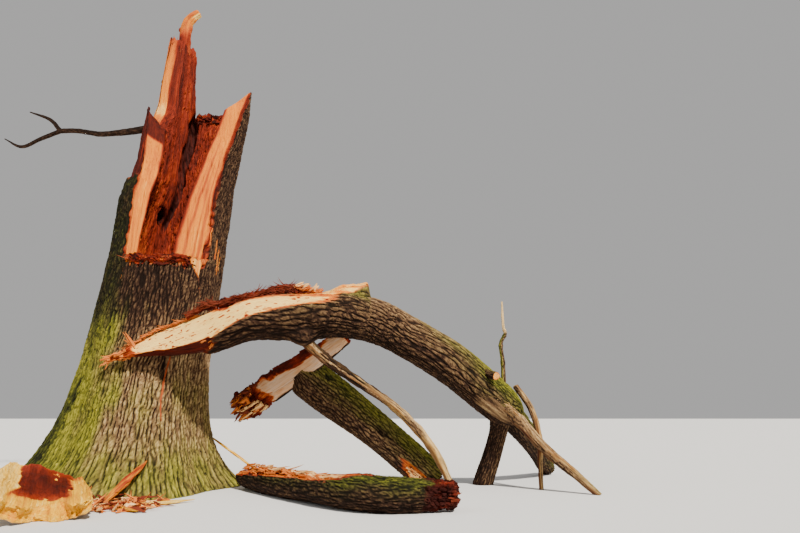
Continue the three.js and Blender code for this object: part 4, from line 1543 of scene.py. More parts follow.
BUTT = Limb(
    "fallen_butt",
    (
        (-0.031, -0.96, 1.65, 0.046), (0.284, -0.925, 1.779, 0.133), (0.641, -0.86, 1.922, 0.251),
        (1.14, -0.9, 2.029, 0.331), (1.762, -0.93, 2.251, 0.348), (2.387, -0.885, 2.287, 0.351),
        (2.9, -0.78, 2.29, 0.315), (3.34, -0.655, 2.225, 0.298),
    ),
    "fallen_bough_butt", Slot.TORN_WOOD, rings=250, sides=172,
    tear=Tear(
        -0.74, 0.67, tone=-0.06,
        distance=((0, 0.1), (0.3, 0.05), (0.45, 0.25), (0.58, 0.58), (0.72, 0.8), (0.85, 1.0), (1, 1.2)),
    ),
    depth=0.024, cell=0.047, mossy=0.75, salt=210, dress=Coat.butt,
)
RIDGE = Limb(
    "butt_ridge",
    (
        (0.888, -0.8, 2.238, 0.02), (1.142, -0.8, 2.37, 0.036), (1.327, -0.8, 2.405, 0.05),
        (1.616, -0.8, 2.46, 0.075), (1.907, -0.8, 2.515, 0.082), (2.132, -0.8, 2.555, 0.095),
        (2.279, -0.8, 2.565, 0.105), (2.441, -0.8, 2.53, 0.085), (2.629, -0.8, 2.52, 0.045),
    ),
    "", Slot.HEARTWOOD, rings=240, sides=60, depth=0.05, salt=240, tone=0.76, dress=Coat.torn,
    ends=(End.TORN, End.TORN),
)
STEM = Limb(
    "fallen_stem",
    (
        (2.9, -0.78, 2.285, 0.305), (3.34, -0.655, 2.222, 0.292), (3.73, -0.5, 2.05, 0.278),
        (4.42, -0.3, 1.66, 0.3), (4.95, -0.15, 1.26, 0.285), (5.25, -0.05, 1.03, 0.235),
        (5.43, 0.02, 0.88, 0.06),
    ),
    "fallen_bough_stem", Slot.MOSSY_BARK, rings=205, sides=200, start=0.1, depth=0.026, cell=0.044,
    mossy=0.9, salt=211, dress=Coat.stem,
)
SECOND = Limb(
    "second_bough_bark",
    (
        (2.277, 0.02, 1.607, 0.299), (2.842, 0.31, 1.15, 0.279), (3.5, 0.6, 0.63, 0.262),
        (4.21, 0.9, 0.04, 0.24),
    ),
    "second_bough", Slot.MOSSY_BARK, rings=185, sides=180, depth=0.025, cell=0.044, mossy=0.8, damp_and_shade=0.4,
    salt=214, dress=Coat.second, ends=(End.HIDDEN, End.TORN), tone=0.75,
)
SLAB = Limb(
    "second_torn_slab",
    (
        (1.39, 0.33, 1.06, 0.19), (1.858, 0.15, 1.339, 0.204), (2.42, -0.12, 1.671, 0.182),
        (2.99, -0.565, 2.006, 0.118),
    ),
    "second_slab", Slot.TORN_WOOD, rings=150, sides=110, flat=0.42, depth=0.014, cell=0.05, salt=215,
    dress=Coat.slab, ends=(End.TORN, End.TORN), tone=0.65,
)
LOG_PIECE = Limb(
    "ground_log_bark",
    (
        (1.65, -0.06, 0.195, 0.185), (2.5, -1.13, 0.19, 0.19), (3.45, -2.02, 0.185, 0.185),
        (4.3, -1.95, 0.17, 0.16),
    ),
    "ground_log", Slot.BARK, rings=190, sides=94,
    tear=Tear(-0.2, 0.98, ((0, 0.35), (0.3, 0.5), (0.5, 0.75), (0.62, 1.05), (1, 1.3)), tone=0.3, rough=0.12),
    depth=0.02, cell=0.042, mossy=0.9, damp_and_shade=0.85, salt=216, dress=Coat.log, ends=(End.TORN, End.TORN),
    tone=0.92,
)
SPIRE = Limb(
    "spire_hook",
    (
        (0.0, 0.515, 6.96, 0.12), (0.005, 0.505, 7.2, 0.105), (0.008, 0.5, 7.38, 0.088),
        (0.03, 0.49, 7.54, 0.086), (0.1, 0.485, 7.665, 0.082), (0.225, 0.478, 7.765, 0.066),
    ),
    "spire_tip", Slot.TORN_WOOD, rings=90, sides=40, depth=0.016, cell=0.03, wood=1.0, tone=0.16,
    ends=(End.HIDDEN, End.TORN), salt=217, dress=Coat.hook,
)
THIN_LIMBS = (
    Limb(
        "side_bough_bark",
        (
            (-0.06, -0.2, 5.26, 0.06), (-0.6, -0.2, 5.18, 0.044), (-0.9, -0.2, 5.16, 0.038),
            (-1.22, -0.2, 5.212, 0.036), (-1.53, -0.2, 5.21, 0.036),
        ),
        "side_bough", Slot.BARK, rings=90, sides=20, depth=0.006, cell=0.03, salt=220, dress=Coat.twig,
    ),
    Limb(
        "side_bough_upper_bark",
        ((-1.5, -0.2, 5.212, 0.032), (-1.68, -0.2, 5.4, 0.027), (-2.01, -0.2, 5.53, 0.009)),
        "side_bough_upper", Slot.BARK, rings=50, sides=16, depth=0.004, cell=0.02, salt=221,
        dress=Coat.twig, ends=(End.HIDDEN, End.TORN),
    ),
    Limb(
        "side_bough_lower_bark",
        (
            (-1.5, -0.2, 5.208, 0.034), (-1.76, -0.25, 5.05, 0.027), (-2.02, -0.25, 4.925, 0.022),
            (-2.335, -0.2, 5.08, 0.007),
        ),
        "side_bough_lower", Slot.BARK, rings=60, sides=16, depth=0.004, cell=0.02, salt=222,
        dress=Coat.twig, ends=(End.HIDDEN, End.TORN),
    ),
    Limb(
        "fallen_top",
        (
            (5.0, -0.13, 1.26, 0.205), (5.45, 0.33, 0.82, 0.175), (5.86, 1.05, 0.43, 0.155),
            (6.16, 1.75, 0.112, 0.135),
        ),
        "fallen_bough_top", Slot.MOSSY_BARK, rings=120, sides=110, depth=0.018, cell=0.038, mossy=0.9,
        ends=(End.HIDDEN, End.TORN), tone=0.72, salt=223,
    ),
    Limb(
        "fallen_leg",
        ((5.15, -0.06, 1.05, 0.165), (5.1, 0.13, 0.66, 0.122), (4.9, 0.42, -0.03, 0.142)),
        "fallen_bough_leg", Slot.BARK, rings=90, sides=90, depth=0.016, cell=0.036, mossy=0.3, damp_and_shade=0.85,
        salt=224,
    ),
    Limb(
        "fallen_pole",
        (
            (4.74, -0.4, 1.37, 0.03), (4.95, -0.375, 1.22, 0.065), (5.16, -0.29, 1.075, 0.082),
            (5.356, -0.23, 0.885, 0.082), (5.667, -0.38, 0.52, 0.072), (5.887, -0.5, 0.316, 0.066),
            (6.241, -0.7, -0.01, 0.038),
        ),
        "fallen_bough_pole", Slot.BARE_WOOD, rings=200, sides=44, depth=0.014, cell=0.03, wood=0.5,
        tone=0.24, mossy=0.5, damp_and_shade=0.3, salt=225, dress=Coat.wear_and_shade,
    ),
    Limb(
        "sawn_stub",
        ((4.83, -0.18, 1.56, 0.078), (5.015, -0.56, 1.478, 0.055)),
        "cut_stub", Slot.MOSSY_BARK, rings=40, sides=40, depth=0.008, cell=0.03, mossy=0.6,
        ends=(End.HIDDEN, End.SAWN), salt=226,
    ),
    Limb(
        "crooked_shoot",
        (
            (5.18, -0.1, 1.25, 0.04), (5.186, -0.1, 1.667, 0.03), (5.166, -0.1, 1.95, 0.027),
            (5.235, -0.1, 2.1, 0.024), (5.195, -0.2, 2.2, 0.019), (5.189, -0.2, 2.549, 0.012),
        ),
        "upright_shoot", Slot.BARE_WOOD, rings=110, sides=20, depth=0.004, cell=0.02, mossy=1.0, damp_and_shade=0.2,
        tone=0.1, ends=(End.HIDDEN, End.TORN), salt=227, dress=Coat.shoot,
    ),
    Limb(
        "dead_stick_wood",
        (
            (5.379, 0.02, 1.363, 0.042), (5.543, -0.1, 1.076, 0.041), (5.614, -0.232, 0.712, 0.038),
            (5.618, -0.21, 0.375, 0.034), (5.621, -0.18, -0.01, 0.03),
        ),
        "dead_stick", Slot.BARE_WOOD, rings=100, sides=26, depth=0.006, cell=0.025, wood=0.62, tone=0.34,
        damp_and_shade=0.3, ends=(End.TORN, End.HIDDEN), salt=228, dress=Coat.wear_and_shade,
    ),
    Limb(
        "prop_branch_wood",
        (
            (2.4, -0.88, 1.99, 0.078), (2.766, -0.95, 1.677, 0.066), (3.152, -0.9, 1.411, 0.06),
            (3.663, -0.8, 1.069, 0.058), (4.115, -0.62, 0.597, 0.06), (4.443, -0.42, -0.01, 0.048),
        ),
        "prop_branch", Slot.BARE_WOOD, rings=210, sides=38, depth=0.016, cell=0.034, wood=0.5, tone=0.3,
        mossy=0.5, damp_and_shade=0.25, salt=229, dress=Coat.prop,
    ),
)


def ledge(name: str, places: Array, sizes: Sequence[float], **settings: float) -> Limb:
    """Returns a lumpy ridge of rotten wood through places on the trunk."""
    stations = tuple((*place, size) for place, size in zip(places.tolist(), sizes))
    return Limb(name, stations, "", Slot.HEARTWOOD, rings=160, dress=Coat.torn, **settings)


def rim_ledge() -> Limb:
    """Returns the lumpy ledge of torn wood along the front rim."""
    trunk, turn = Trunk(), np.radians(np.linspace(251, 327, 9))
    height = np.array([3.12, 3.06, 3.03, 3.06, 3.03, 3.05, 3.07, 3.05, 3.04])
    radius = trunk.radius(turn, height) - 0.065
    places = trunk.leaned(radius * np.cos(turn), radius * np.sin(turn), height)
    sizes = (0.05, 0.08, 0.075, 0.09, 0.07, 0.085, 0.09, 0.08, 0.05)
    return ledge("rim_ledge", places, sizes, depth=0.045, salt=241, tone=0.76)


def rear_ledge() -> Limb:
    """Returns the crumbling ledge of dark wood on the shell's crest behind the hollow."""
    crown, around = Crown(Trunk()), np.linspace(0.16, 0.535, 9)
    through = np.array([0.5, 0.35, 0.5, 0.3, 0.45, 0.3, 0.45, 0.35, 0.4])
    places, _ = crown.place(through, around, crown.top(through, around) + 0.02, through * 0)
    sizes = (0.05, 0.1, 0.075, 0.11, 0.08, 0.1, 0.12, 0.1, 0.07)
    return ledge("rear_ledge", places, sizes, depth=0.06, salt=243, tone=0.8)


# Loose pieces


@dataclass(frozen=True)
class Shard:
    """A torn board that thins to both ends.

    Attributes:
        name: The piece's name.
        node: The CAD node that it replaces.
        start: One end.
        stop: The other end.
        width: Half its width.
        thickness: Half its thickness.
        tone: How dark its wood is.
        salt: The number of its grain.
    """

    name: str
    node: str
    start: tuple[float, float, float]
    stop: tuple[float, float, float]
    width: float
    thickness: float
    tone: float
    salt: int

    def build(self) -> Piece:
        """Returns the board with fibrous faces and ragged ends."""
        turns = np.arange(SHARD_SIDES) * TAU / SHARD_SIDES
        share, turn = np.meshgrid(np.linspace(0, 1, SHARD_ROWS), turns, indexing="ij")
        start, stop = np.array(self.start), np.array(self.stop)
        ahead = unit(stop - start)
        side = unit(np.cross([0.0, 0.0, 1.0], ahead))
        up = np.cross(ahead, side)
        long = float(np.linalg.norm(stop - start))
        taper = np.interp(share, [0, 0.25, 0.5, 0.75, 1], [0.25, 0.9, 1, 0.75, 0.2])
        box = np.maximum(np.abs(np.cos(turn)), np.abs(np.sin(turn))) ** -0.8
        grain = ringed(turn, self.width, share * long)
        chips = waver(grain, 0.014, 0.22, self.salt)
        ragged = waver(grain, 0.03, 0.12, self.salt + 4, 2)
        size = taper * (0.84 + 0.34 * chips + 0.5 * ragged)
        across, above = self.width * size * box * np.cos(turn), self.thickness * size * box * np.sin(turn)
        run = share * long + 0.06 * ragged * (smooth(0.12, 0, share) + smooth(0.88, 1, share))
        points = start + ahead * run[..., None] + side * across[..., None] + up * above[..., None]
        points[..., 2] = np.maximum(points[..., 2], 0.001)
        heart = np.clip(self.tone + 0.5 * (chips + ragged), 0, 1)
        masks = {"torn": np.ones(heart.shape), "heart": heart, "relief": 0.75 + 0.5 * chips}
        sheet = Patch(points, grain, masks, around=True)
        ends = []
        for row, flip in ((0, True), (-1, False)):
            middle = points[row].mean(axis=0)
            closing = lerp(middle, points[row], np.array([1, 0.5, 0])[:, None, None])
            shown = {mask: np.repeat(values[row][None], 3, axis=0) for mask, values in masks.items()}
            ends.append(Patch(closing, np.repeat(grain[row][None], 3, axis=0), shown, around=True, flip=flip))
        return mesh_of(self.name, [sheet, *ends])


SHARDS = (
    Shard(
        "long_front_splinter", "loose_shard_front", (0.29, -1.56, 0.024), (1.01, -2.08, 0.024), 0.045,
        0.026, 0.3, 401,
    ),
    Shard(
        "standing_splinter", "loose_shard_left", (0.43, -1.64, 0.022), (0.595, -0.92, 0.425), 0.066, 0.026,
        0.42, 402,
    ),
    Shard(
        "pale_splinter", "loose_shard_pale", (0.64, -1.87, 0.022), (1.33, -1.27, 0.024), 0.048, 0.024, 0.12,
        403,
    ),
    Shard(
        "torn_log_strip", "log_strip", (1.56, 0.01, 0.25), (2.7, -1.15, 0.3), 0.08, 0.026, 0.32, 404,
    ),
    Shard(
        "leaning_pale_splinter", "leaning_splinter", (0.93, 0.29, 0.71), (2.15, -0.24, 0.02), 0.026, 0.016,
        0.15, 405,
    ),
)


@dataclass(frozen=True)
class FootSlab:
    """A broken piece of the shell that lies with its rotten side up.

    Attributes:
        x: Its middle.
        y: Its middle.
        turn: The direction of its length, in degrees.
        radius: The radius of its barked side.
        thickness: Its thickness.
        right: Its right-hand edge, in degrees from straight down.
        left: Its left-hand edge.
        length: Its length.
        rise: How much its far end rises.
        points: Number of points through it, round it and along it.
    """

    x: float = 0.045
    y: float = -2.01
    turn: float = 119.0
    radius: float = 0.7
    thickness: float = 0.15
    right: float = -34.0
    left: float = 50.0
    length: float = 1.4
    rise: float = 0.1
    points: tuple[int, int, int] = (16, 84, 110)

    def place(self, shares: tuple[Array, Array, Array], lift: Array) -> Array:
        """Places points in the slab.

        Args:
            shares: How far through it, round it and along it they lie.
            lift: How far they are lifted off their curved sheet, in metres.

        Returns:
            The points.
        """
        through, around, lengthwise = shares
        c, s = math.cos(math.radians(self.turn)), math.sin(math.radians(self.turn))
        at = np.radians(lerp(self.right, self.left, around))
        r = lerp(self.radius - self.thickness, self.radius, through) + lift
        run = (lengthwise - 0.5) * self.length * (1 - 0.18 * np.cos(3 * at))
        up = self.radius - 0.015 - r * np.cos(at) + self.rise * (run + 0.42 * self.length)
        arch = 0.17 * hill(0.52, 0.5, around) - 0.09 * smooth(0.3, 0, around)
        up = up + arch * smooth(0.4, 1, lengthwise)
        aslant = r * np.sin(at)
        return np.stack([self.x + run * c - aslant * s, self.y + run * s + aslant * c, up], -1)

    def sheet(self, through: Array, around: Array, lengthwise: Array, flip: bool = False) -> Patch:
        """Dresses one side of the slab.

        Args:
            through: From 0 on the rotten side to 1 on the barked one.
            around: From 0 at the right-hand edge to 1 at the left-hand one.
            lengthwise: From 0 at the near end to 1 at the far one.
            flip: Whether the faces are turned over.

        Returns:
            The sheet.
        """
        flat = np.stack([around * 0.95, through * self.thickness, lengthwise * self.length], -1)
        crumbs = rot(flat, 501, 0.07, 3.0)
        slow = waver(flat, 0.16, 0.16, 503)
        chips = waver(flat, 0.014, 0.5, 505)
        jag = layered(flat / np.array([0.05, 0.5, 9.0]), 507, 2) - 0.5
        step = np.floor(layered(flat / np.array([0.15, 0.09, 9.0]), 511, 1) * 5) / 5 - 0.4
        spread = layered(np.stack([lengthwise * 14, through * 2, 0 * through], -1), 509, 2) - 0.5
        near, far = smooth(0.3, 0, lengthwise), smooth(0.75, 1, lengthwise)
        long = lengthwise + (0.1 * jag + 0.14 * step) * (far - near)
        wide = around + 0.06 * spread * (smooth(0.8, 1, around) - smooth(0.2, 0, around))
        upper = smooth(0.6, 0, through)
        lift = -upper * (0.01 * (crumbs - 0.5) + 0.06 * slow) + 0.012 * chips
        points = self.place((through, wide, long), lift)
        points[..., 2] = np.maximum(points[..., 2], 0)
        ends = np.maximum(smooth(0.26 + 0.3 * slow, 0.12, lengthwise), smooth(0.98, 1, lengthwise) * 0.6)
        limit = lerp(0.9, 0.76, smooth(0.05, 0.45, lengthwise))
        left = smooth(0, 0.05, around + 0.12 * slow - limit)
        fresh = np.maximum.reduce([ends, smooth(0.2 + 0.4 * slow, 0.12, around), smooth(0.3, 0.75, through)])
        rotten = 0.84 + 0.3 * slow + 0.1 * (0.5 - crumbs) - 0.25 * smooth(0.55, 0.2, lengthwise)
        heart = lerp(rotten, 0.18 + 0.35 * chips + 0.12 * slow, fresh)
        heart = lerp(heart, 0.5 + 0.5 * chips, far * (1 - left) * 0.7)
        heart = lerp(heart, 0.09 + 0.14 * chips, left)
        barked = smooth(0.93, 0.97, through) * (1 - left)
        relief = lerp(0.5 + 0.5 * crumbs, 0.8, np.maximum(fresh, left))
        masks = {"heart": np.clip(heart, 0, 1), "torn": 1 - barked, "relief": relief}
        return Patch(points, flat, masks, flip=flip)

    def build(self) -> Piece:
        """Returns the slab, closed on all six sides."""
        return mesh_of("fallen_shell_slab", boxed(self.sheet, *(np.linspace(0, 1, n) for n in self.points)))


# Splinters and strands


@dataclass
class Strands:
    """Many thin tapering splinters that share one colour.

    Attributes:
        name: The piece's name.
        roots: Where they start.
        ways: Where they point.
        lengths: How long they are.
        widths: Half their width at the root.
        curl: How far they bend, as a share of their length.
        seed: The seed of their random draws.
    """

    name: str
    roots: Array
    ways: Array
    lengths: Array
    widths: Array
    curl: float = 0.1
    seed: int = 1

    def build(self) -> Piece:
        """Returns all the strands joined in one mesh."""
        draw = np.random.default_rng(self.seed)
        count, steps = len(self.roots), STRAND_STEPS
        ahead = unit(self.ways)
        side = unit(np.cross(ahead, unit(draw.normal(size=(count, 3)))))
        axes = np.stack([side, np.cross(ahead, side)], 1)[:, None]
        share = np.linspace(0, 1, steps)[:, None]
        long, wide = self.lengths[:, None, None], self.widths[:, None, None]
        sway = share**2 * long * draw.normal(size=(count, 1, 2)) * self.curl
        sway = sway + 0.25 * wide * draw.normal(size=(count, steps, 2))
        flat = draw.uniform(0.3, 0.8, size=(count, 1, 1))
        size = wide * np.interp(share, [0, 0.4, 0.8, 1], [1, 0.85, 0.45, 0.08])
        corners = np.stack([size * np.array([1, -1, -1, 1]), size * flat * np.array([1, 1, -1, -1])], -1)
        centre = self.roots[:, None] + ahead[:, None] * share * long
        points = centre[:, :, None] + (sway[:, :, None] + corners) @ axes
        points[..., 2] = np.maximum(points[..., 2], 0.002)
        faces = []
        for step in range(steps - 1):
            for corner in range(4):
                a, b = step * 4 + corner, step * 4 + (corner + 1) % 4
                faces += [(a, b, b + 4), (a, b + 4, a + 4)]
        last = (steps - 1) * 4
        faces += [(0, 2, 1), (0, 3, 2), (last, last + 1, last + 2), (last, last + 2, last + 3)]
        every = (np.array(faces)[None] + (np.arange(count) * steps * 4)[:, None, None]).reshape(-1, 3)
        grain = np.zeros_like(points)
        grain[..., 2] = long * share
        grain[..., 0] = np.arange(count)[:, None, None] * 0.37
        return raw_mesh(self.name, points.reshape(-1, 3), every, grain.reshape(-1, 3), {})


@dataclass(frozen=True)
class Tuft:
    """Splinters that stand on a stretch of a limb.

    Attributes:
        limb: The limb.
        count: How many there are.
        share: The shares along the limb between which they stand.
        angle: The angles round it, in degrees.
        lift: Their distance from its middle line, as a share of its radius.
        along: How far they point along the limb.
        out: How far they point away from it.
        spread: How much their directions differ.
        length: Their lengths in metres.
        width: Half their widths in metres.
    """

    limb: Limb
    count: int
    share: tuple[float, float]
    angle: tuple[float, float]
    lift: float
    along: tuple[float, float]
    out: tuple[float, float]
    spread: float
    length: tuple[float, float]
    width: tuple[float, float]

    def drawn(self, draw: np.random.Generator) -> tuple[Array, Array, Array, Array]:
        """Draws the splinters.

        Args:
            draw: The random draws.

        Returns:
            Their roots, directions, lengths and widths.
        """
        tall = (self.count, 1)
        share = draw.uniform(*self.share, self.count)
        angle = np.radians(draw.uniform(*self.angle, tall))
        spine = self.limb.line(share)
        ahead, side, up = self.limb.axes(share)
        out = side * np.cos(angle) + up * np.sin(angle)
        ways = ahead * draw.uniform(*self.along, tall) + out * draw.uniform(*self.out, tall)
        ways = ways + draw.normal(size=(self.count, 3)) * self.spread
        roots = spine[:, :3] + out * spine[:, 3:] * self.lift
        return roots, ways, draw.uniform(*self.length, self.count), draw.uniform(*self.width, self.count)


ORANGE_TUFTS = (
    (BUTT, 150, (0.13, 0.42), (46, 64), 0.9, (-1, -1), (-0.1, 0.15), 0.12, (0.05, 0.16), (0.003, 0.01)),
    (BUTT, 40, (0.01, 0.13), (0, 360), 0.5, (-1, -1), (0, 0), 0.16, (0.05, 0.13), (0.008, 0.02)),
    (BUTT, 8, (0.44, 0.48), (215, 240), 0.88, (-1, -0.5), (0.1, 0.3), 0.15, (0.04, 0.1), (0.008, 0.014)),
    (BUTT, 4, (0.145, 0.16), (90, 150), 0.3, (-0.5, -0.3), (0.9, 1), 0.15, (0.12, 0.24), (0.014, 0.02)),
    (SLAB, 34, (0.02, 0.24), (110, 290), 0.85, (-1, -0.8), (0, 0.12), 0.07, (0.07, 0.18), (0.014, 0.03)),
    (LOG_PIECE, 120, (0.01, 0.55), (70, 150), 0.66, (0.8, 1), (0, 0.05), 0.06, (0.08, 0.26), (0.006, 0.02)),
    (RIDGE, 30, (0.76, 1.0), (40, 150), 0.85, (0.3, 1), (0.1, 0.5), 0.15, (0.06, 0.16), (0.012, 0.03)),
    (SECOND, 14, (0.82, 0.95), (190, 225), 0.95, (0.6, 1), (0, 0.1), 0.1, (0.1, 0.22), (0.008, 0.018)),
)
RED_TUFTS = (
    (RIDGE, 260, (0.0, 0.9), (0, 200), 1.0, (0.8, 1.2), (-0.1, 0.25), 0.2, (0.04, 0.17), (0.003, 0.01)),
    (RIDGE, 260, (0.05, 0.9), (0, 200), 1.0, (-1.2, -0.8), (-0.1, 0.25), 0.2, (0.04, 0.17), (0.003, 0.01)),
    (SLAB, 60, (0.01, 0.27), (70, 300), 0.85, (-1, -0.8), (0, 0.14), 0.1, (0.05, 0.16), (0.014, 0.034)),
    (LOG_PIECE, 30, (0.94, 1.0), (0, 360), 0.7, (0.5, 1), (0, 0.3), 0.2, (0.04, 0.1), (0.008, 0.022)),
    (SECOND, 20, (0.82, 0.95), (190, 240), 0.95, (0.6, 1), (0, 0.1), 0.12, (0.1, 0.2), (0.006, 0.016)),
)
PALE_TUFTS = (
    (RIDGE, 22, (0.74, 0.97), (60, 140), 0.8, (0.3, 1), (0.25, 0.6), 0.15, (0.06, 0.17), (0.012, 0.028)),
    (LOG_PIECE, 60, (0.02, 0.58), (70, 120), 0.68, (0.8, 1), (0, 0.06), 0.06, (0.1, 0.34), (0.006, 0.018)),
    (SLAB, 12, (0.06, 0.28), (190, 265), 0.9, (-1, -0.9), (0, 0.12), 0.06, (0.08, 0.2), (0.012, 0.026)),
    (SECOND, 10, (0.82, 0.93), (200, 222), 1.0, (0.8, 1), (0, 0.06), 0.06, (0.16, 0.3), (0.012, 0.024)),
)


# The studio


@dataclass(frozen=True)
class Studio:
    """A pale floor, soft light and the camera at the photograph's viewing angle.

    Attributes:
        eye: The camera's place.
        tilt: How far it looks up, in degrees.
        lens: Its focal length in millimetres.
        sensor: The width of its sensor in millimetres.
        floor_reach: Half the floor's width.
        floor_drop: How far the floor lies below the tree, so that the two don't share a plane.
    """

    eye: tuple[float, float, float] = (3.727, -8.70, 1.05)
    tilt: float = 13.36
    lens: float = 27.0
    sensor: float = 36.0
    floor_reach: float = 60.0
    floor_drop: float = 0.003

    def build(self) -> None:
        """Makes the floor, the lights and the camera."""
        mesh = bpy.data.meshes.new("floor")
        signs = ((-1, -1), (1, -1), (1, 1), (-1, 1))
        corners = [(x * self.floor_reach, y * self.floor_reach, -self.floor_drop) for x, y in signs]
        mesh.from_pydata(corners, [], [(0, 1, 2, 3)])
        mesh.materials.append(
            Shader("pale_floor").finished({"Base Color": (0.72, 0.71, 0.69, 1.0), "Roughness": 0.9})
        )
        floor = placed("floor", mesh)
        world = bpy.data.worlds.new("studio")
        bpy.context.scene.world = world
        world.use_nodes = True
        background = world.node_tree.nodes["Background"]
        background.inputs["Color"].default_value = (0.90, 0.89, 0.88, 1.0)
        background.inputs["Strength"].default_value = 0.5
        for name, power, angle, turn, tint in (
            ("key", 7.5, 4.0, (46.0, 0.0, 32.0), (1.0, 0.95, 0.87)),
            ("fill", 0.5, 40.0, (60.0, 0.0, -70.0), (0.9, 0.95, 1.0)),
        ):
            lamp = bpy.data.lights.new(name, "SUN")
            lamp.energy, lamp.angle, lamp.color = power, math.radians(angle), tint
            placed(name, lamp).rotation_euler = [math.radians(part) for part in turn]
        lens = bpy.data.cameras.new("camera")
        lens.lens, lens.sensor_width, lens.clip_end = self.lens, self.sensor, 200.0
        camera = placed("camera", lens)
        camera.location = self.eye
        camera.rotation_euler = (math.radians(90 + self.tilt), 0.0, 0.0)
        bpy.context.scene.camera = camera


# Assembly


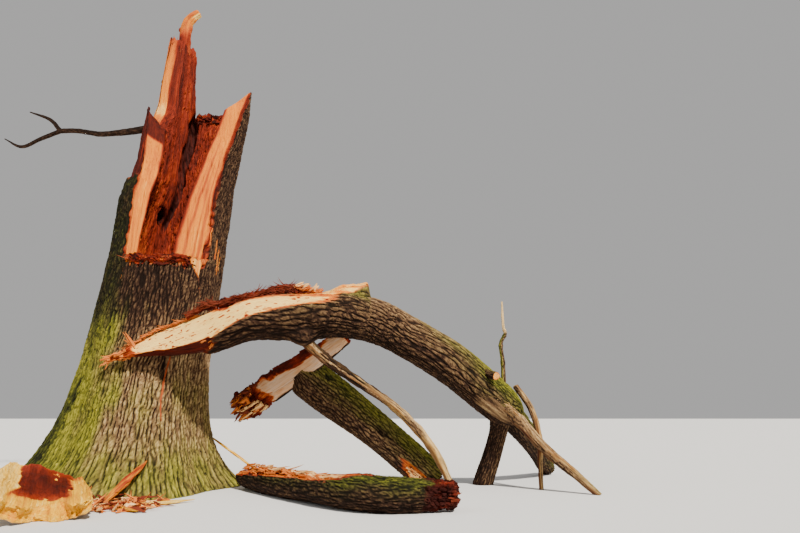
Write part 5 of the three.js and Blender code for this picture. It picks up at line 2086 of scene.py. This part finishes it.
class DeadTree:
    """The whole tree, piece by piece."""

    def __init__(self) -> None:
        """Makes the finishes."""
        plain = SkinFinish("tree_skin")
        slab_wood = ((0.92, 0.66, 0.20), (0.88, 0.45, 0.008), (0.70, 0.27, 0.01), *plain.wood[3:])
        bare_wood = (
            (0.8, 0.55, 0.24), (0.64, 0.42, 0.16), (0.4, 0.23, 0.07), (0.2, 0.09, 0.028),
            (0.12, 0.042, 0.014), (0.07, 0.02, 0.009), (0.03, 0.01, 0.005),
        )
        face_wood = ((0.74, 0.54, 0.38), (0.72, 0.42, 0.22), *plain.wood[2:])
        self.skin, self.slab = plain.make(), SkinFinish("slab_wood", wood=slab_wood).make()
        self.bare = SkinFinish("bare_wood", wood=bare_wood).make()
        self.face = SkinFinish("second_face", wood=face_wood).make()
        self.pale = FibreFinish("pale_fibres", (0.82, 0.50, 0.20)).make()
        self.orange = FibreFinish("orange_fibres", (0.58, 0.16, 0.025)).make()
        self.red = FibreFinish("red_fibres", (0.145, 0.022, 0.007)).make()
        self.rim = FibreFinish("rim_fibres", (0.23, 0.042, 0.012)).make()

    def keep(self, piece: Piece, finish: bpy.types.Material, slot: Slot, nodes: Sequence[str] = ()) -> None:
        """Finishes a piece and ties it to the frame.

        Args:
            piece: The new piece.
            finish: Its material.
            slot: The record's slot; it is not used.
            nodes: The CAD nodes that it replaces.
        """
        piece.data.materials.append(finish)
        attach(piece, BODY)
        if nodes:
            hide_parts(*nodes)
        LOG.info("%s: %d triangles", piece.name, len(piece.data.polygons))

    def trunk(self) -> None:
        """Builds the stem and the torn shell on it."""
        trunk = Trunk()
        for piece in [*trunk.build(), *Crown(trunk).build()]:
            self.keep(piece, self.skin, Slot.BARK, ["trunk"])

    def limbs(self) -> None:
        """Builds the fallen boughs and the thin ones."""
        limbs = (BUTT, RIDGE, rim_ledge(), rear_ledge(), STEM, SECOND, SLAB, LOG_PIECE, SPIRE, *THIN_LIMBS)
        for limb in limbs:
            finish = self.bare if limb.slot is Slot.BARE_WOOD else self.face if limb is SLAB else self.skin
            self.keep(limb.build(), finish, limb.slot, [limb.node] if limb.node else [])

    def loose(self) -> None:
        """Builds the slab and the splinters that lie at the foot."""
        self.keep(FootSlab().build(), self.slab, Slot.HEARTWOOD, ["foot_slab"])
        for shard in SHARDS:
            self.keep(shard.build(), self.slab, Slot.TORN_WOOD, [shard.node])

    def fibres(self) -> None:
        """Builds the splinters and strands on the torn edges."""
        draw = np.random.default_rng(7)
        self.keep(self.rim_fibres(draw), self.rim, Slot.TORN_WOOD)
        for name, rows, finish, curl in (
            ("red_fibres", RED_TUFTS, self.red, 0.2),
            ("orange_fibres", ORANGE_TUFTS, self.orange, 0.1),
            ("pale_fibres", PALE_TUFTS, self.pale, 0.06),
        ):
            drawn = zip(*(Tuft(*row).drawn(draw) for row in rows))
            piece = Strands(name, *(np.concatenate(part) for part in drawn), curl, len(rows)).build()
            self.keep(piece, finish, Slot.TORN_WOOD)
        chips = (("pale", 40, self.pale), ("orange", 110, self.orange), ("red", 90, self.red))
        for name, count, finish in chips:
            self.keep(self.foot_fibres(draw, f"{name}_foot_chips", count), finish, Slot.TORN_WOOD)

    def rim_fibres(self, draw: np.random.Generator) -> Piece:
        """Strews torn strands along the front rim and on the spire's crest.

        Args:
            draw: The random draws.

        Returns:
            The new object.
        """
        trunk, crown, count, spikes = Trunk(), Crown(Trunk()), 36, 60
        turn = np.radians(draw.uniform(252, 326, count))
        height = draw.uniform(2.98, 3.13, count)
        radius = trunk.radius(turn, height) - draw.uniform(0.0, 0.12, count)
        roots = trunk.leaned(radius * np.cos(turn), radius * np.sin(turn), height)
        sense = np.where(draw.uniform(size=count) < 0.5, -1.0, 1.0)
        ways = np.stack([-np.sin(turn) * sense, np.cos(turn) * sense, draw.uniform(-0.2, 0.7, count)], -1)
        ways = ways + draw.normal(size=(count, 3)) * 0.2
        around = draw.uniform(0.58, 0.785, spikes)
        through = draw.uniform(0.1, 0.9, spikes)
        tops, _ = crown.place(through, around, crown.top(through, around) - 0.04, through * 0)
        up = np.array([0.08, 0.0, 1.0]) + draw.normal(size=(spikes, 3)) * 0.09
        lengths = np.concatenate([draw.uniform(0.04, 0.2, count), draw.uniform(0.04, 0.12, spikes)])
        lengths[-6:] = draw.uniform(0.16, 0.36, 6)
        widths = np.concatenate([draw.uniform(0.005, 0.014, count), draw.uniform(0.005, 0.012, spikes)])
        roots, ways = np.concatenate([roots, tops]), np.concatenate([ways, up])
        return Strands("rim_fibres", roots, ways, lengths, widths, 0.18, 2).build()

    def foot_fibres(self, draw: np.random.Generator, name: str, count: int) -> Piece:
        """Strews chips and splinters on the ground between the slab and the trunk.

        Args:
            draw: The random draws.
            name: The piece's name.
            count: How many there are.

        Returns:
            The new object.
        """
        places = draw.uniform((0.2, -2.0, 0.005), (1.05, -1.3, 0.05), size=(count, 3))
        ways = draw.normal(size=(count, 3)) * np.array([1.0, 0.6, 0.18]) + np.array([1.0, -0.4, 0.12])
        lengths, widths = draw.uniform(0.05, 0.3, count) ** 1.2, draw.uniform(0.006, 0.024, count)
        return Strands(name, places, ways, lengths, widths, 0.12, count).build()


def main() -> None:
    """Builds the scene and reports each piece."""
    logging.basicConfig(level=logging.INFO, format="%(message)s")
    Studio().build()
    tree = DeadTree()
    tree.trunk()
    tree.limbs()
    tree.loose()
    tree.fibres()


if __name__ == "__main__":
    main()
